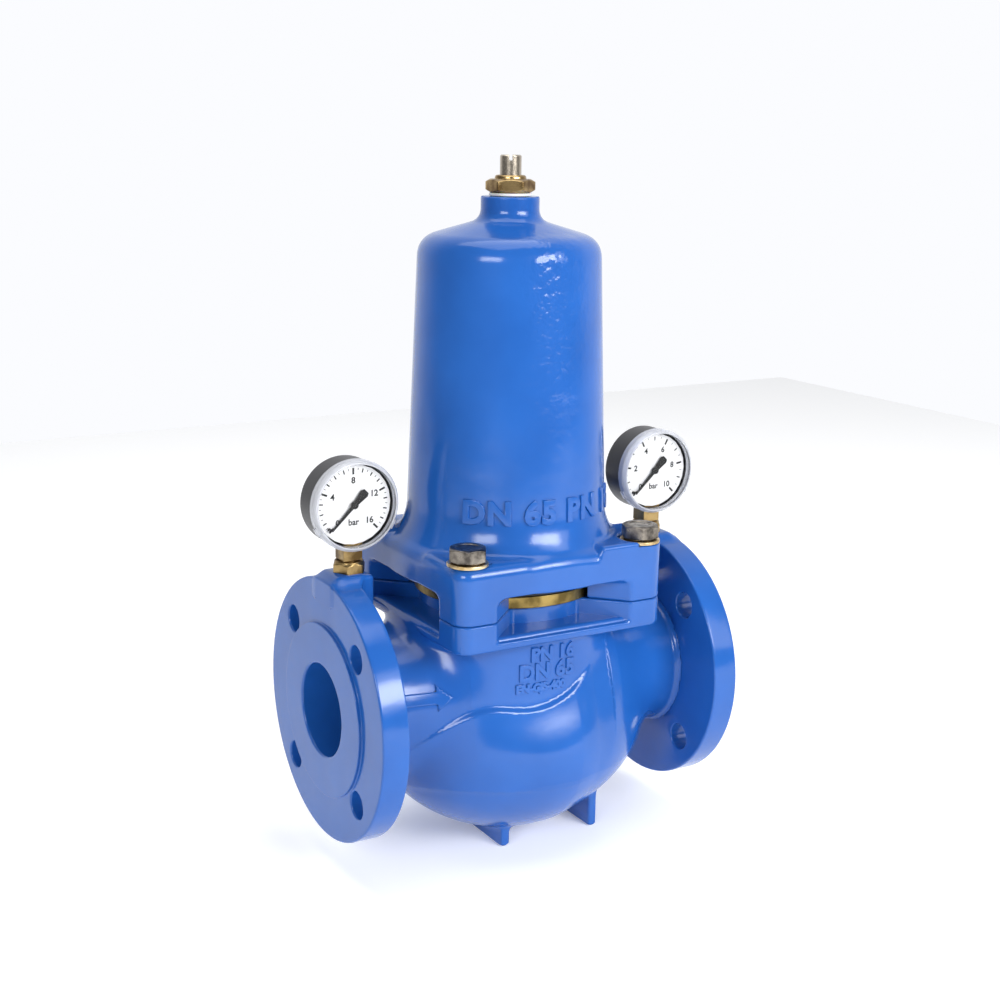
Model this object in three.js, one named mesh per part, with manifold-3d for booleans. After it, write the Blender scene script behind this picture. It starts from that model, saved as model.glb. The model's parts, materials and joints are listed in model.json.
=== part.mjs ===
// A flanged, spring-loaded pressure reducing valve for water, in millimetres, +Z up.
// Flow runs towards +X. The origin is on the floor, midway between the two pipe flanges.
// Heights in this file count from the pipe axis; the whole group is lifted to stand on its feet.
import * as THREE from 'three';
import { mergeVertices } from 'three/addons/utils/BufferGeometryUtils.js';
import Module from 'manifold-3d';

const wasm = await Module();
wasm.setup();

// Driving dimensions
const AXIS_HEIGHT = 115;
const GAP = 0.3;
const FACE_TO_FACE = 290;
const PIPE_FLANGE = { radius: 92.5, thickness: 22, faceRadius: 61, faceStep: 2.5, bore: 32.5 };
const PIPE_BOLTS = { count: 4, circle: 72.5, hole: 9.5 };
const HUB = { footRadius: 54, topRadius: 49, length: 9 };
const BOWL = { x: 5, z: -15, rx: 110, ry: 86, rz: 95 };
const NECK = { rx: 74, ry: 70 };
const WALL = 9;
const FEET = { x: [-17.5, 57.5], thickness: 7, halfLength: 37 };
const SQUARE = { half: 82.5, corner: 12 };
const PLATE = { bottom: 51.5, top: 71.5, pocketFloor: 57.5, ring: 61 };
const WINDOW = { half: 54, top: 88, depth: 34, inner: 66 };
const BLOCK = { top: 111.5, seat: 110.5, spotFace: 15.5, start: 27 };
const RIM = { radius: 82.5, top: 106.5 };
const CORNER_BOLT = { at: 69, shank: 8, headAcross: 24, headHeight: 10, washer: 14, washerHeight: 2.2 };
const SEAT = { bore: 30, top: 9, bottom: -12 };
const DIAPHRAGM = { seat: 80.3, thickness: 2, radius: 64.5 };
const LIFT = 10;
const SCREW = { radius: 7.85, top: 374, pitch: 2 };
const NECK_TOP = 346.4;
const SPRING = { radius: 41, wire: 4.6, turns: 6.5, bottom: 92, top: 289.5 };
const GAUGE = { x: 123, z: 144.5, radius: 30.6, window: 31.6, back: 13, front: -15 };

// Finishes: colour, roughness, metalness
const finish = (color, roughness, metalness) =>
  new THREE.MeshStandardMaterial({ color, roughness, metalness });
const BLUE = () => finish(0x3f72cc, 0.22, 0);
const BRASS = () => finish(0xb08d4a, 0.35, 1);
const STEEL = () => finish(0x9a9da1, 0.35, 1);
const SPRING_STEEL = () => finish(0x5b5e63, 0.4, 1);
const NYLON = () => finish(0xe9e9e6, 0.5, 0);
const RUBBER = () => finish(0x1b1b1c, 0.8, 0);
const BLACK = () => finish(0x1e1f22, 0.45, 0);
const DIAL_WHITE = () => finish(0xf4f4f2, 0.5, 0);
const CLEAR = () => finish(0xdfe6ee, 0.08, 0);

// A closed mesh with its shared corners merged and its flat triangles dropped
function weld(geometry) {
  const bare = geometry.clone();
  bare.deleteAttribute('normal');
  bare.deleteAttribute('uv');
  const merged = mergeVertices(bare, 1e-4);
  const old = merged.index.array;
  const kept = [];
  for (let i = 0; i < old.length; i += 3) {
    const [a, b, c] = [old[i], old[i + 1], old[i + 2]];
    if (a !== b && b !== c && c !== a) kept.push(a, b, c);
  }
  merged.setIndex(kept);
  return merged;
}

function solid(geometry) {
  const { attributes, index } = weld(geometry);
  return new wasm.Manifold(new wasm.Mesh({
    numProp: 3,
    vertProperties: Float32Array.from(attributes.position.array),
    triVerts: Uint32Array.from(index.array),
  }));
}

function geometryOf(manifold) {
  const { vertProperties, triVerts } = manifold.getMesh();
  const geometry = new THREE.BufferGeometry();
  geometry.setAttribute('position', new THREE.BufferAttribute(Float32Array.from(vertProperties), 3));
  geometry.setIndex(Array.from(triVerts));
  return geometry;
}

const union = (solids) => solids.reduce((sum, piece) => sum.add(piece));
const cut = (base, tools) => tools.reduce((rest, tool) => rest.subtract(tool), base);

// A profile of [radius, height] points turned about Z. The points run up the outside.
function turned(profile, segments = 24) {
  const points = profile.map(([r, z]) => new THREE.Vector2(r, z));
  return new THREE.LatheGeometry(points, segments).rotateX(Math.PI / 2);
}

// The same, closed on itself, for a ring with a hole
const ring = (profile, segments) => turned([...profile, profile[0]], segments);

// A plain ring between two radii and two heights
const washer = (inner, outer, low, high, segments) =>
  ring([[inner, low], [outer, low], [outer, high], [inner, high]], segments);

// A plain disc or rod along Z
const rod = (radius, low, high, segments = 24) =>
  turned([[0, low], [radius, low], [radius, high], [0, high]], segments);

// An outline in X and Y raised from one height to another
function raised(shape, low, high, curveSegments = 6) {
  const depth = high - low;
  const block = new THREE.ExtrudeGeometry(shape, { depth, bevelEnabled: false, curveSegments });
  return block.translate(0, 0, low);
}

// An outline in X and Z carried right through along Y
function carried(shape, halfWidth) {
  const block = new THREE.ExtrudeGeometry(shape, { depth: 2 * halfWidth, bevelEnabled: false });
  return block.translate(0, 0, -halfWidth).rotateX(Math.PI / 2);
}

const outline = (points) => new THREE.Shape(points.map(([x, y]) => new THREE.Vector2(x, y)));

function roundedSquare(half, corner) {
  const shape = new THREE.Shape();
  const flat = half - corner;
  for (let i = 0; i < 4; i++) {
    const turn = (i * Math.PI) / 2;
    const cx = flat * (i === 0 || i === 3 ? 1 : -1);
    const cy = flat * (i < 2 ? 1 : -1);
    shape.absarc(cx, cy, corner, turn, turn + Math.PI / 2, false);
  }
  return shape;
}

function hexagon(acrossFlats) {
  const corner = acrossFlats / 2 / Math.cos(Math.PI / 6);
  const points = [];
  for (let i = 0; i < 6; i++) {
    const angle = (i * Math.PI) / 3 + Math.PI / 6;
    points.push([corner * Math.cos(angle), corner * Math.sin(angle)]);
  }
  return outline(points);
}

// A hexagon bar with its end corners chamfered by a turned cone
function hexBar(acrossFlats, low, high, chamfer = 1.2) {
  const r = acrossFlats / 2 / Math.cos(Math.PI / 6);
  const cone = [[0, low], [r - chamfer, low], [r, low + chamfer], [r, high - chamfer], [r - chamfer, high],
    [0, high]];
  return solid(raised(hexagon(acrossFlats), low, high)).intersect(solid(turned(cone, 24)));
}

function quarterTurned(geometry, quarter) {
  return geometry.clone().rotateZ((quarter * Math.PI) / 2);
}

function part(name, shape, material) {
  const geometry = shape instanceof THREE.BufferGeometry ? weld(shape) : geometryOf(shape);
  const mesh = new THREE.Mesh(geometry, material);
  mesh.name = name;
  return mesh;
}

// The wall line between inlet and outlet chambers, seen from the front
const WEB = [[-125, -42], [-100, -38], [-75, -18], [-52, -1], [50, -1], [60, 20], [66, 60]];
const WEB_HALF = 5;

function aboveWeb(shift) {
  const line = WEB.map(([x, z]) => [x, z + shift]);
  return carried(outline([...line, [66, 200], [-200, 200], [-200, -42 + shift]]), 120);
}

function belowWeb(shift) {
  const line = WEB.map(([x, z]) => [x + shift, z - shift]);
  return carried(outline([...line.reverse(), [-125, -200], [200, -200], [200, 60]]), 120);
}

// The shoulder line where the wide lower bowl ends on the outside
const SHOULDER = [[-130, -48], [-94, -27], [-79, -8], [-63, 3], [-54, 5.7], [-24, 3.5], [-8, 5.3], [6, 11.6],
  [17, 18.6], [30, 32], [42, 60], [130, 60], [130, -130], [-130, -130]];

function ellipsoid(inset, segments) {
  const ball = new THREE.SphereGeometry(1, segments, Math.round(segments * 0.6)).rotateX(Math.PI / 2);
  return ball.scale(BOWL.rx - inset, BOWL.ry - inset, BOWL.rz - inset).translate(BOWL.x, 0, BOWL.z);
}

// An oval column under the top plate
function column(inset, low, high) {
  const tube = rod(1, low, high, inset ? 20 : 36);
  return tube.scale(NECK.rx - inset, NECK.ry - inset, 1).translate(-4, 0, 0);
}

// Pipe flange, hub and branch as one turned piece along X; side is -1 at the inlet
function branch(side) {
  const face = FACE_TO_FACE / 2;
  const back = face - PIPE_FLANGE.thickness;
  const edge = 1.2;
  const R = PIPE_FLANGE.radius;
  const profile = [[0, 20], [63, 20], [60, 60], [HUB.topRadius, back - HUB.length], [HUB.footRadius, back],
    [R - edge, back], [R, back + edge], [R, face - PIPE_FLANGE.faceStep - edge],
    [R - edge, face - PIPE_FLANGE.faceStep], [PIPE_FLANGE.faceRadius, face - PIPE_FLANGE.faceStep],
    [PIPE_FLANGE.faceRadius, face], [0, face]];
  return turned(profile, 44).rotateY((side * Math.PI) / 2);
}

function branchBore(side) {
  const bore = rod(PIPE_FLANGE.bore, 55, FACE_TO_FACE / 2 + 5, 28);
  return bore.rotateY((side * Math.PI) / 2);
}

function pipeBoltHoles(side) {
  const holes = [];
  for (let i = 0; i < PIPE_BOLTS.count; i++) {
    const angle = ((i + 0.5) * 2 * Math.PI) / PIPE_BOLTS.count;
    const hole = rod(PIPE_BOLTS.hole, 115, 150, 12);
    hole.translate(PIPE_BOLTS.circle * Math.cos(angle), PIPE_BOLTS.circle * Math.sin(angle), 0);
    holes.push(solid(hole.rotateY((side * Math.PI) / 2)));
  }
  return holes;
}

// A trapezium on the front side, wide at the outer face and narrowing at 45 degrees
function sidePocket(low, high) {
  const { half, depth } = WINDOW;
  const outer = SQUARE.half + 5;
  const inner = SQUARE.half - depth;
  const corners = [[-half - 5, -outer], [half + 5, -outer], [half - depth, -inner], [depth - half, -inner]];
  return raised(outline(corners), low, high);
}

const fourSides = (geometry) => [0, 1, 2, 3].map((quarter) => solid(quarterTurned(geometry, quarter)));

const corners = (geometry) => [[1, 1], [-1, 1], [-1, -1], [1, -1]].map(([sx, sy]) =>
  geometry.clone().translate(sx * CORNER_BOLT.at, sy * CORNER_BOLT.at, 0));

// Cast body: branches, bowl, top plate, gauge bosses and feet outside, two chambers inside
function valveBody() {
  const boss = new THREE.BoxGeometry(28, 28, 40).translate(0, 0, 75.5);
  const foot = new THREE.BoxGeometry(FEET.thickness, 2 * FEET.halfLength, 45);
  foot.translate(0, 0, -AXIS_HEIGHT + 22.5);
  const bowl = solid(ellipsoid(0, 40)).intersect(solid(carried(outline(SHOULDER), 120)));
  const pockets = cut(union(fourSides(sidePocket(PLATE.pocketFloor, PLATE.top + 5))),
    [solid(rod(PLATE.ring, 40, 90, 40))]);
  const slab = solid(raised(roundedSquare(SQUARE.half, SQUARE.corner), PLATE.bottom, PLATE.top));
  const plate = slab.subtract(pockets);
  const outside = union([bowl, plate, solid(column(0, -45, 55)), solid(branch(-1)), solid(branch(1)),
    ...[-1, 1].map((side) => solid(boss.clone().translate(side * (GAUGE.x + 0.5), 0, 0))),
    ...FEET.x.map((x) => solid(foot.clone().translate(x, 0, 0)))]);

  const inletRoom = solid(column(WALL + 3, -60, 46)).intersect(solid(aboveWeb(WEB_HALF)));
  const outletRoom = solid(ellipsoid(WALL, 22)).intersect(solid(belowWeb(WEB_HALF)));
  const gaugePorts = [-1, 1].flatMap((side) => [solid(rod(6.9, 78, 100, 14).translate(side * GAUGE.x, 0, 0)),
    solid(rod(3, 25, 80, 8).translate(side * GAUGE.x, 0, 0))]);
  return cut(outside, [inletRoom, outletRoom, solid(branchBore(-1)), solid(branchBore(1)),
    ...pipeBoltHoles(-1), ...pipeBoltHoles(1), ...gaugePorts,
    solid(rod(40, -10, 8, 32)), solid(rod(50, 40, 80, 36)),
    ...corners(rod(8.4, 45, 75, 14)).map(solid)]);
}

// Bonnet outline, bottom to top: flared foot, 2 degree taper, domed top and a neck for the screw
const BONNET_OUTSIDE = [[RIM.radius, WINDOW.top], [RIM.radius, RIM.top - 1], [75.5, 113], [72, 117.5],
  [70, 124], [69, 135], [68.1, 190], [63.9, 300], [62.9, 311], [60.4, 315], [56.3, 319], [47, 323], [32, 327],
  [24, 329.8], [21.4, 331.6], [20.2, 334], [20.2, NECK_TOP]];

// Spring bonnet: square rim on four corner legs, windows between the legs, tall spring housing
function springBonnet() {
  const clamp = DIAPHRAGM.seat + DIAPHRAGM.thickness + GAP;
  const shell = solid(turned([[0, WINDOW.top], ...BONNET_OUTSIDE, [0, NECK_TOP]], 40));
  const collar = solid(rod(WINDOW.inner, clamp, WINDOW.top + 2, 36));
  const block = solid(raised(roundedSquare(SQUARE.half, SQUARE.corner), PLATE.top + GAP, BLOCK.top));
  const middle = solid(rod(WINDOW.inner + 2, 60, WINDOW.top, 36));
  const notch = new THREE.BoxGeometry(2 * BLOCK.start, 60, 20).translate(0, -SQUARE.half, RIM.top + 10);
  const legs = cut(block, [middle, ...fourSides(sidePocket(60, WINDOW.top)), ...fourSides(notch)]);
  const cavity = turned([[0, 70], [50, 70], [50, 91], [61, 97], [61, 180], [56.5, 300], [53, 309], [44, 314],
    [20, 319], [0, 319]], 28);
  return cut(union([legs, shell, collar]), [solid(cavity), solid(rod(SCREW.radius + GAP, 300, 360, 24)),
    ...corners(rod(8.4, 60, 130, 14)).map(solid),
    ...corners(rod(BLOCK.spotFace, BLOCK.seat, 140, 24)).map(solid)]);
}

function cornerBolt() {
  const head = BLOCK.seat + CORNER_BOLT.washerHeight + 2 * GAP;
  const shank = rod(CORNER_BOLT.shank, PLATE.bottom + 2, head + 1, 14);
  return geometryOf(hexBar(CORNER_BOLT.headAcross, head, head + CORNER_BOLT.headHeight).add(solid(shank)));
}

// Brass cartridge: clamped flange, spigot in the body's top bore and a cylinder for the piston
function insertHousing() {
  const low = PLATE.top + GAP;
  const high = DIAPHRAGM.seat - GAP;
  const profile = [[31.5, 22], [37, 22], [37, 52], [49.6, 52], [49.6, 54.5], [47.2, 54.5], [47.2, 58.5],
    [49.6, 58.5], [49.6, 62.5], [47.2, 62.5], [47.2, 66.5], [49.6, 66.5], [49.6, low], [65, low], [65, high],
    [48, high], [48, 69], [31.5, 69]];
  return ring(profile, 24);
}

// An O-ring of round section about Z
function oRing(centre, section, height) {
  const profile = [];
  for (let i = 0; i < 6; i++) {
    const angle = (i * Math.PI) / 3;
    profile.push([centre + section * Math.cos(angle), height + section * Math.sin(angle)]);
  }
  return ring(profile, 24);
}

const balancePiston = () => ring([[8.3, 40.3], [31, 40.3], [31, 46], [27.6, 46], [27.6, 50.4], [31, 50.4],
  [31, 56], [15, 56], [15, 62], [8.3, 62]], 24);

const seatRing = () => ring([[SEAT.bore, SEAT.bottom], [33, SEAT.bottom], [33, -9], [39.7, -9],
  [39.7, 4.3], [44, 4.3], [44, SEAT.top], [SEAT.bore, SEAT.top]], 24);

// The stem: a shoulder for each stack of pieces, bored up the middle to sense the outlet pressure
function valveStem() {
  const steps = [[0, -46], [8, -46], [8, -22], [11, -22], [11, 40], [8, 40], [8, 114], [0, 114]];
  const body = solid(turned(steps, 24));
  const port = rod(2.5, -12, 12, 10).rotateY(Math.PI / 2).translate(0, 0, 66);
  return cut(body, [solid(rod(3.5, -50, 68, 12)), solid(port)]);
}

const SEAL_TOP = SEAT.bottom - LIFT - 0.3;
const discHolder = () => ring([[8.3, -34], [37, -34], [38, -33], [38, -23.6], [36.2, -23.6], [36.2, -26.3],
  [8.3, -26.3]], 22);
const discSeal = () => washer(26.6, 35.9, -26, SEAL_TOP, 22);
const discRetainer = () => washer(8.3, 26.3, -26, -22.3, 18);

// Fabric-reinforced rubber diaphragm: flat clamped rim, one step, flat middle
const diaphragm = () => ring([[8.4, 84.3], [45.5, 84.3], [49, 80.3], [DIAPHRAGM.radius, 80.3],
  [DIAPHRAGM.radius, 82.3], [49.4, 82.3], [46, 86.3], [8.4, 86.3]], 24);

const supportPlate = () => ring([[8.3, 70], [15, 70], [15, 79], [44, 79], [44, 84], [8.3, 84]], 20);
const springPlateLower = () => ring([[8.3, 86.6], [46, 86.6], [46, 91.6], [34, 91.6], [33, 101],
  [8.3, 101]], 20);
const springPlateUpper = () => turned([[0, 283], [34, 283], [35.5, 289.8], [47, 289.8], [47, 296], [14, 298],
  [0, 298]], 20);

// One closed compression coil: the end turns lie flat, the turns between them rise evenly
class Coil extends THREE.Curve {
  getPoint(t, target = new THREE.Vector3()) {
    const { radius, wire, turns, bottom, top } = SPRING;
    const flat = 0.75 / turns;
    const rise = THREE.MathUtils.clamp((t - flat) / (1 - 2 * flat), 0, 1);
    const start = THREE.MathUtils.clamp(t / flat, 0, 1);
    const closed = start + THREE.MathUtils.clamp((t - 1 + flat) / flat, 0, 1);
    const step = 2 * wire + 1;
    const low = bottom + wire;
    const height = top - wire - low - 2 * 0.75 * step;
    const angle = 2 * Math.PI * turns * t;
    return target.set(radius * Math.cos(angle), radius * Math.sin(angle),
      low + 0.75 * step * closed + height * rise);
  }
}

function adjustingSpring() {
  const section = new THREE.Shape().absarc(0, 0, SPRING.wire, 0, 2 * Math.PI, false);
  return new THREE.ExtrudeGeometry(section, { steps: 78, curveSegments: 3, extrudePath: new Coil() });
}

function adjustingScrew() {
  const { radius, top } = SCREW;
  const chamfer = 1.2;
  const stud = turned([[0, 298.3], [radius - chamfer, 298.3], [radius, 299.5], [radius, top - chamfer],
    [radius - chamfer, top], [0, top]], 32);
  const slot = new THREE.BoxGeometry(2.2, 30, 8).translate(0, 0, top + 0.3);
  return solid(stud).subtract(solid(slot.rotateZ(Math.PI / 6)));
}

const LOCK_NUT = { across: 30, low: NECK_TOP + 2 * GAP + 1.9, height: 9 };

function lockNut() {
  const { across, low, height } = LOCK_NUT;
  const collar = solid(rod(11.5, low + 4, low + height + 2.6, 32));
  const bore = solid(rod(SCREW.radius + 0.35, low - 5, low + 30, 32));
  return hexBar(across, low, low + height, 1.6).add(collar).subtract(bore);
}

// A pressure gauge in its own frame: +Z towards the reader, +Y up, the stem hanging along -Y
const MOVEMENT = { tubeRadius: 17, pinion: 1.25, sector: 11.5, pivot: 13.05 };

function gaugeCase() {
  const { radius, back } = GAUGE;
  const stemSlot = new THREE.BoxGeometry(14.6, 16, 14.6).translate(0, -radius, 0);
  const cup = turned([[0, -back], [radius - 3, -back], [radius, 3 - back], [radius, 9], [radius - 2, 9],
    [radius - 2, 2.5 - back], [0, 2.5 - back]], 28);
  return solid(cup).subtract(solid(stemSlot));
}

const gaugeWindow = () => turned([[0, 12.6], [28.6, 12.6], [28.6, 9 + GAP], [GAUGE.radius + GAP, 9 + GAP],
  [GAUGE.radius + GAP, 7.4], [GAUGE.window, 7.4], [GAUGE.window, 12], [29, 15], [0, 15]], 28);

const gaugeDial = () => washer(1.4, 27.4, 7.2, 8, 24);

// Needle with a wide tail, resting on zero at the lower left, and its spindle with a plain pinion
function gaugePointer() {
  const half = [[0.5, 23.3], [1.2, 2], [3.2, -10.5], [2, -12.5]];
  const mirrored = half.map(([x, y]) => [-x, y]);
  const needle = raised(outline([...mirrored, ...half.toReversed()]), 9.3, 10.1);
  const spindle = turned([[0, -3], [0.8, -3], [0.8, -1], [MOVEMENT.pinion, -1], [MOVEMENT.pinion, 2],
    [0.8, 2], [0.8, 9.3], [2.6, 9.3], [2.6, 10.8], [0, 10.8]], 14);
  return solid(needle).add(solid(spindle)).rotate([0, 0, 135]);
}

// Brass stem: square for the wrench, round below where it screws into the boss, bored through
function gaugeSocket() {
  const square = new THREE.BoxGeometry(14, 22, 14).translate(0, -28.5, 0);
  const spigot = rod(6.4, 38, 61, 24).rotateX(Math.PI / 2);
  const bore = rod(2, 25, 70, 12).rotateX(Math.PI / 2);
  const branchHole = rod(1.6, -12, 12, 10).rotateY(Math.PI / 2).translate(0, -26, -4);
  return cut(solid(square).add(solid(spigot)), [solid(bore), solid(branchHole)]);
}

const gaugeRingNut = () => ring([[6.8, -48.7], [11.7, -48.7], [11.7, -42.5], [10, -41], [10, -39.8],
  [6.8, -39.8]], 20).rotateX(-Math.PI / 2);

class TubeArc extends THREE.Curve {
  getPoint(t, target = new THREE.Vector3()) {
    const angle = THREE.MathUtils.degToRad(-45 + 235 * t);
    return target.set(MOVEMENT.tubeRadius * Math.cos(angle), MOVEMENT.tubeRadius * Math.sin(angle), -3);
  }
}

function bourdonTube() {
  const section = new THREE.Shape().absellipse(0, 0, 3.2, 1.5, 0, 2 * Math.PI, false);
  return new THREE.ExtrudeGeometry(section, { steps: 18, curveSegments: 3, extrudePath: new TubeArc() });
}

function movementPlate() {
  const plate = new THREE.BoxGeometry(14, 22, 1.2).translate(0, -6, 3.6);
  const hole = rod(1.2, 0, 8, 12);
  return cut(solid(plate), [solid(hole)]);
}

// A toothless sector that swings about its pivot below the pinion
function sectorGear() {
  const { sector, pivot } = MOVEMENT;
  const points = [[0, -1.4]];
  for (let degrees = -17; degrees <= 17; degrees += 4.25) {
    const angle = THREE.MathUtils.degToRad(90 + degrees);
    points.push([sector * Math.cos(angle), sector * Math.sin(angle)]);
  }
  const lean = THREE.MathUtils.degToRad(14.7);
  return raised(outline(points), -0.8, 1.6).rotateZ(lean).translate(0, -pivot, 0);
}

function pressureGauge(prefix, x) {
  const gauge = new THREE.Group();
  gauge.position.set(x, 0, GAUGE.z);
  gauge.rotation.x = Math.PI / 2;
  const pieces = [['case', gaugeCase(), BLACK()], ['window', gaugeWindow(), CLEAR()],
    ['dial', gaugeDial(), DIAL_WHITE()], ['pointer', gaugePointer(), BLACK()],
    ['socket', gaugeSocket(), BRASS()], ['ring_nut', gaugeRingNut(), BRASS()],
    ['bourdon_tube', bourdonTube(), BRASS()], ['movement_plate', movementPlate(), BRASS()],
    ['sector_gear', sectorGear(), BRASS()]];
  for (const [name, shape, material] of pieces) gauge.add(part(`${prefix}_gauge_${name}`, shape, material));
  return gauge;
}

const valve = new THREE.Group();
valve.position.z = AXIS_HEIGHT;
const add = (name, shape, material) => valve.add(part(name, shape, material));

add('valve_body', valveBody(), BLUE());
add('spring_bonnet', springBonnet(), BLUE());
const washerTop = BLOCK.seat + GAP + CORNER_BOLT.washerHeight;
corners(washer(8.5, CORNER_BOLT.washer, BLOCK.seat + GAP, washerTop, 24)).forEach((shape, i) =>
  add(`bolt_washer_${i + 1}`, shape, STEEL()));
corners(cornerBolt()).forEach((shape, i) => add(`bonnet_bolt_${i + 1}`, shape, STEEL()));

add('seat_ring', seatRing(), BRASS());
add('insert_housing', insertHousing(), BRASS());
add('insert_o_ring_lower', oRing(48.6, 1.1, 56.5), RUBBER());
add('insert_o_ring_upper', oRing(48.6, 1.1, 64.5), RUBBER());
add('valve_stem', valveStem(), STEEL());
add('disc_holder', discHolder(), BRASS());
add('disc_seal', discSeal(), RUBBER());
add('disc_retainer', discRetainer(), BRASS());
add('stem_nut_lower', hexBar(24, -42, -34.3).subtract(solid(rod(8.3, -50, -20, 24))), STEEL());
add('balance_piston', balancePiston(), BRASS());
add('piston_seal', oRing(29.6, 1.4, 48.2), RUBBER());
add('support_plate', supportPlate(), BRASS());
add('diaphragm', diaphragm(), RUBBER());
add('spring_plate_lower', springPlateLower(), STEEL());
add('stem_nut_upper', hexBar(24, 101.3, 111).subtract(solid(rod(8.3, 95, 120, 24))), STEEL());

add('adjusting_spring', adjustingSpring(), SPRING_STEEL());
add('spring_plate_upper', springPlateUpper(), STEEL());
add('adjusting_screw', adjustingScrew(), STEEL());
add('seal_washer', washer(SCREW.radius + 0.4, 14.5, NECK_TOP + GAP, NECK_TOP + GAP + 1.9, 28), NYLON());
add('lock_nut', lockNut(), BRASS());

valve.add(pressureGauge('inlet', -GAUGE.x), pressureGauge('outlet', GAUGE.x));
export default valve;
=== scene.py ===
"""A flanged, spring-loaded pressure reducing valve in blue coated cast iron, dressed around its
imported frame.

Lengths in each section are millimetres, and heights there count from the pipe axis, as in the
drawing of the valve; they turn to metres in the row frame when a mesh is made.
"""

import json
import math

import bmesh
import bpy
import numpy as np
from mathutils import Matrix, Vector


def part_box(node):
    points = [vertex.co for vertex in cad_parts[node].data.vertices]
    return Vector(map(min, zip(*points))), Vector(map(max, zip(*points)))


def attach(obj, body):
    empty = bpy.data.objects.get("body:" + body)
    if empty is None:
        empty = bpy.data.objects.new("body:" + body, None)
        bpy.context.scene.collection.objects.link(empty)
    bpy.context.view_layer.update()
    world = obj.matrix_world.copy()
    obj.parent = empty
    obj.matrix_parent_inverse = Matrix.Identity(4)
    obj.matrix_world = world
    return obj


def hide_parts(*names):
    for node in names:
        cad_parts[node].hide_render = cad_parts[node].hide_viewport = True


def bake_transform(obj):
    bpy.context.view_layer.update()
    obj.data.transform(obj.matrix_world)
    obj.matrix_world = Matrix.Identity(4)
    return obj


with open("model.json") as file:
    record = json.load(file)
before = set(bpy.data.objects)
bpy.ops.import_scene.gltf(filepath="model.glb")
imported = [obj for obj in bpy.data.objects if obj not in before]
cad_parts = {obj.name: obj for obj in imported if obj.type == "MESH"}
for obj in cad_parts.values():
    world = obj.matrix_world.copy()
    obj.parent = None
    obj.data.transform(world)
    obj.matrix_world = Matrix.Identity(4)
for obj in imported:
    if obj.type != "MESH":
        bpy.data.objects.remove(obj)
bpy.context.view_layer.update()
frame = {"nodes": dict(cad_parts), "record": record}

# --------------------------------------------------------------------------------------------------
# Body casting: spheroidal iron, sand cast in one piece with its branches, bowl, gauge bosses and
# two rail feet, then fusion-bonded with blue epoxy powder. Everything flows together in fillets, as
# a pattern maker draws it.
# --------------------------------------------------------------------------------------------------
MM = 0.001
inlet_bore = next(o for o in frame["record"]["physics"]["openings"] if o["name"] == "inlet_bore")
AXIS = (inlet_bore["box_m"][0][2] + inlet_bore["box_m"][1][2]) / 2
body_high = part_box("valve_body")[1]
FACE = body_high.x / MM
FLANGE_RADIUS = body_high.y / MM
FLANGE_BACK = FACE - 22
FLOOR = -AXIS / MM
BOSS_TOP = (body_high.z - AXIS) / MM
GAUGE_X = (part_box("outlet_gauge_socket")[0].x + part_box("outlet_gauge_socket")[1].x) / 2 / MM
BORE = 32.5
HIDDEN = 0.15  # how far a fillet's root starts below the surface that it grows out of


def filleted(a, b, radius):
    """Union of two solids given as signed distances, with the inside corner filled by a fillet of
    that radius."""
    overlap = np.maximum(radius - np.abs(a - b), 0) / radius
    return np.minimum(a, b) - overlap * overlap * radius / 4


def rounded(a, b, radius):
    """Intersection of two signed distances, with the outside edge rounded to that radius."""
    return -filleted(-a, -b, radius)


def ellipsoid(x, y, z, centre, semi):
    """Distance to an ellipsoid: its implicit value over the length of its gradient."""
    u, v, w = ((p - c) / s for p, c, s in zip((x, y, z), centre, semi))
    k = np.sqrt(u * u + v * v + w * w)
    slope = np.sqrt((u / semi[0]) ** 2 + (v / semi[1]) ** 2 + (w / semi[2]) ** 2)
    return k * (k - 1) / np.maximum(slope, 1e-6)


def oval(x, y, centre, semi, power):
    """Distance to a superellipse |x/a|^n + |y/b|^n = 1, squarer than an ellipse when n is over
    2."""
    u, v = np.abs(x - centre) / semi[0], np.abs(y) / semi[1]
    g = np.maximum(u**power + v**power, 1e-9) ** (1 / power)
    slope = np.hypot(u ** (power - 1) / semi[0], v ** (power - 1) / semi[1]) * g ** (1 - power)
    return (g - 1) / np.maximum(slope, 1e-3)


def through(points):
    """A smooth height function through the points, by cubic Hermite spans with central slopes."""
    px, pz = np.array(points, float).T
    slope = np.gradient(pz, px)

    def height(x):
        i = np.clip(np.searchsorted(px, x) - 1, 0, len(px) - 2)
        span = px[i + 1] - px[i]
        t = np.clip((x - px[i]) / span, 0, 1)
        return (pz[i] * (1 + 2 * t) * (1 - t) ** 2 + slope[i] * span * t * (1 - t) ** 2
                + pz[i + 1] * t * t * (3 - 2 * t) + slope[i + 1] * span * t * t * (t - 1))

    return height


ridge = through([(-135, -42), (-98.8, -20.4), (-88.2, -13.6), (-77.6, -6.7), (-62.8, 1.8), (-46.7, 4.9),
                 (-30, 3.0),
                 (-18.6, 2), (-7.1, 3.2), (7.5, 8), (21, 16.1), (34, 28), (50, 58)])
web = through([(-130, -42), (-96, -36), (-70, -14), (-45, -1), (45, -1), (58, 16), (66, 60)])


def below(line, x, z):
    """Distance under a height line, corrected for its slope."""
    step = 0.5
    slope = (line(x + step) - line(x - step)) / (2 * step)
    return (z - line(x)) / np.sqrt(1 + slope * slope)


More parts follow.
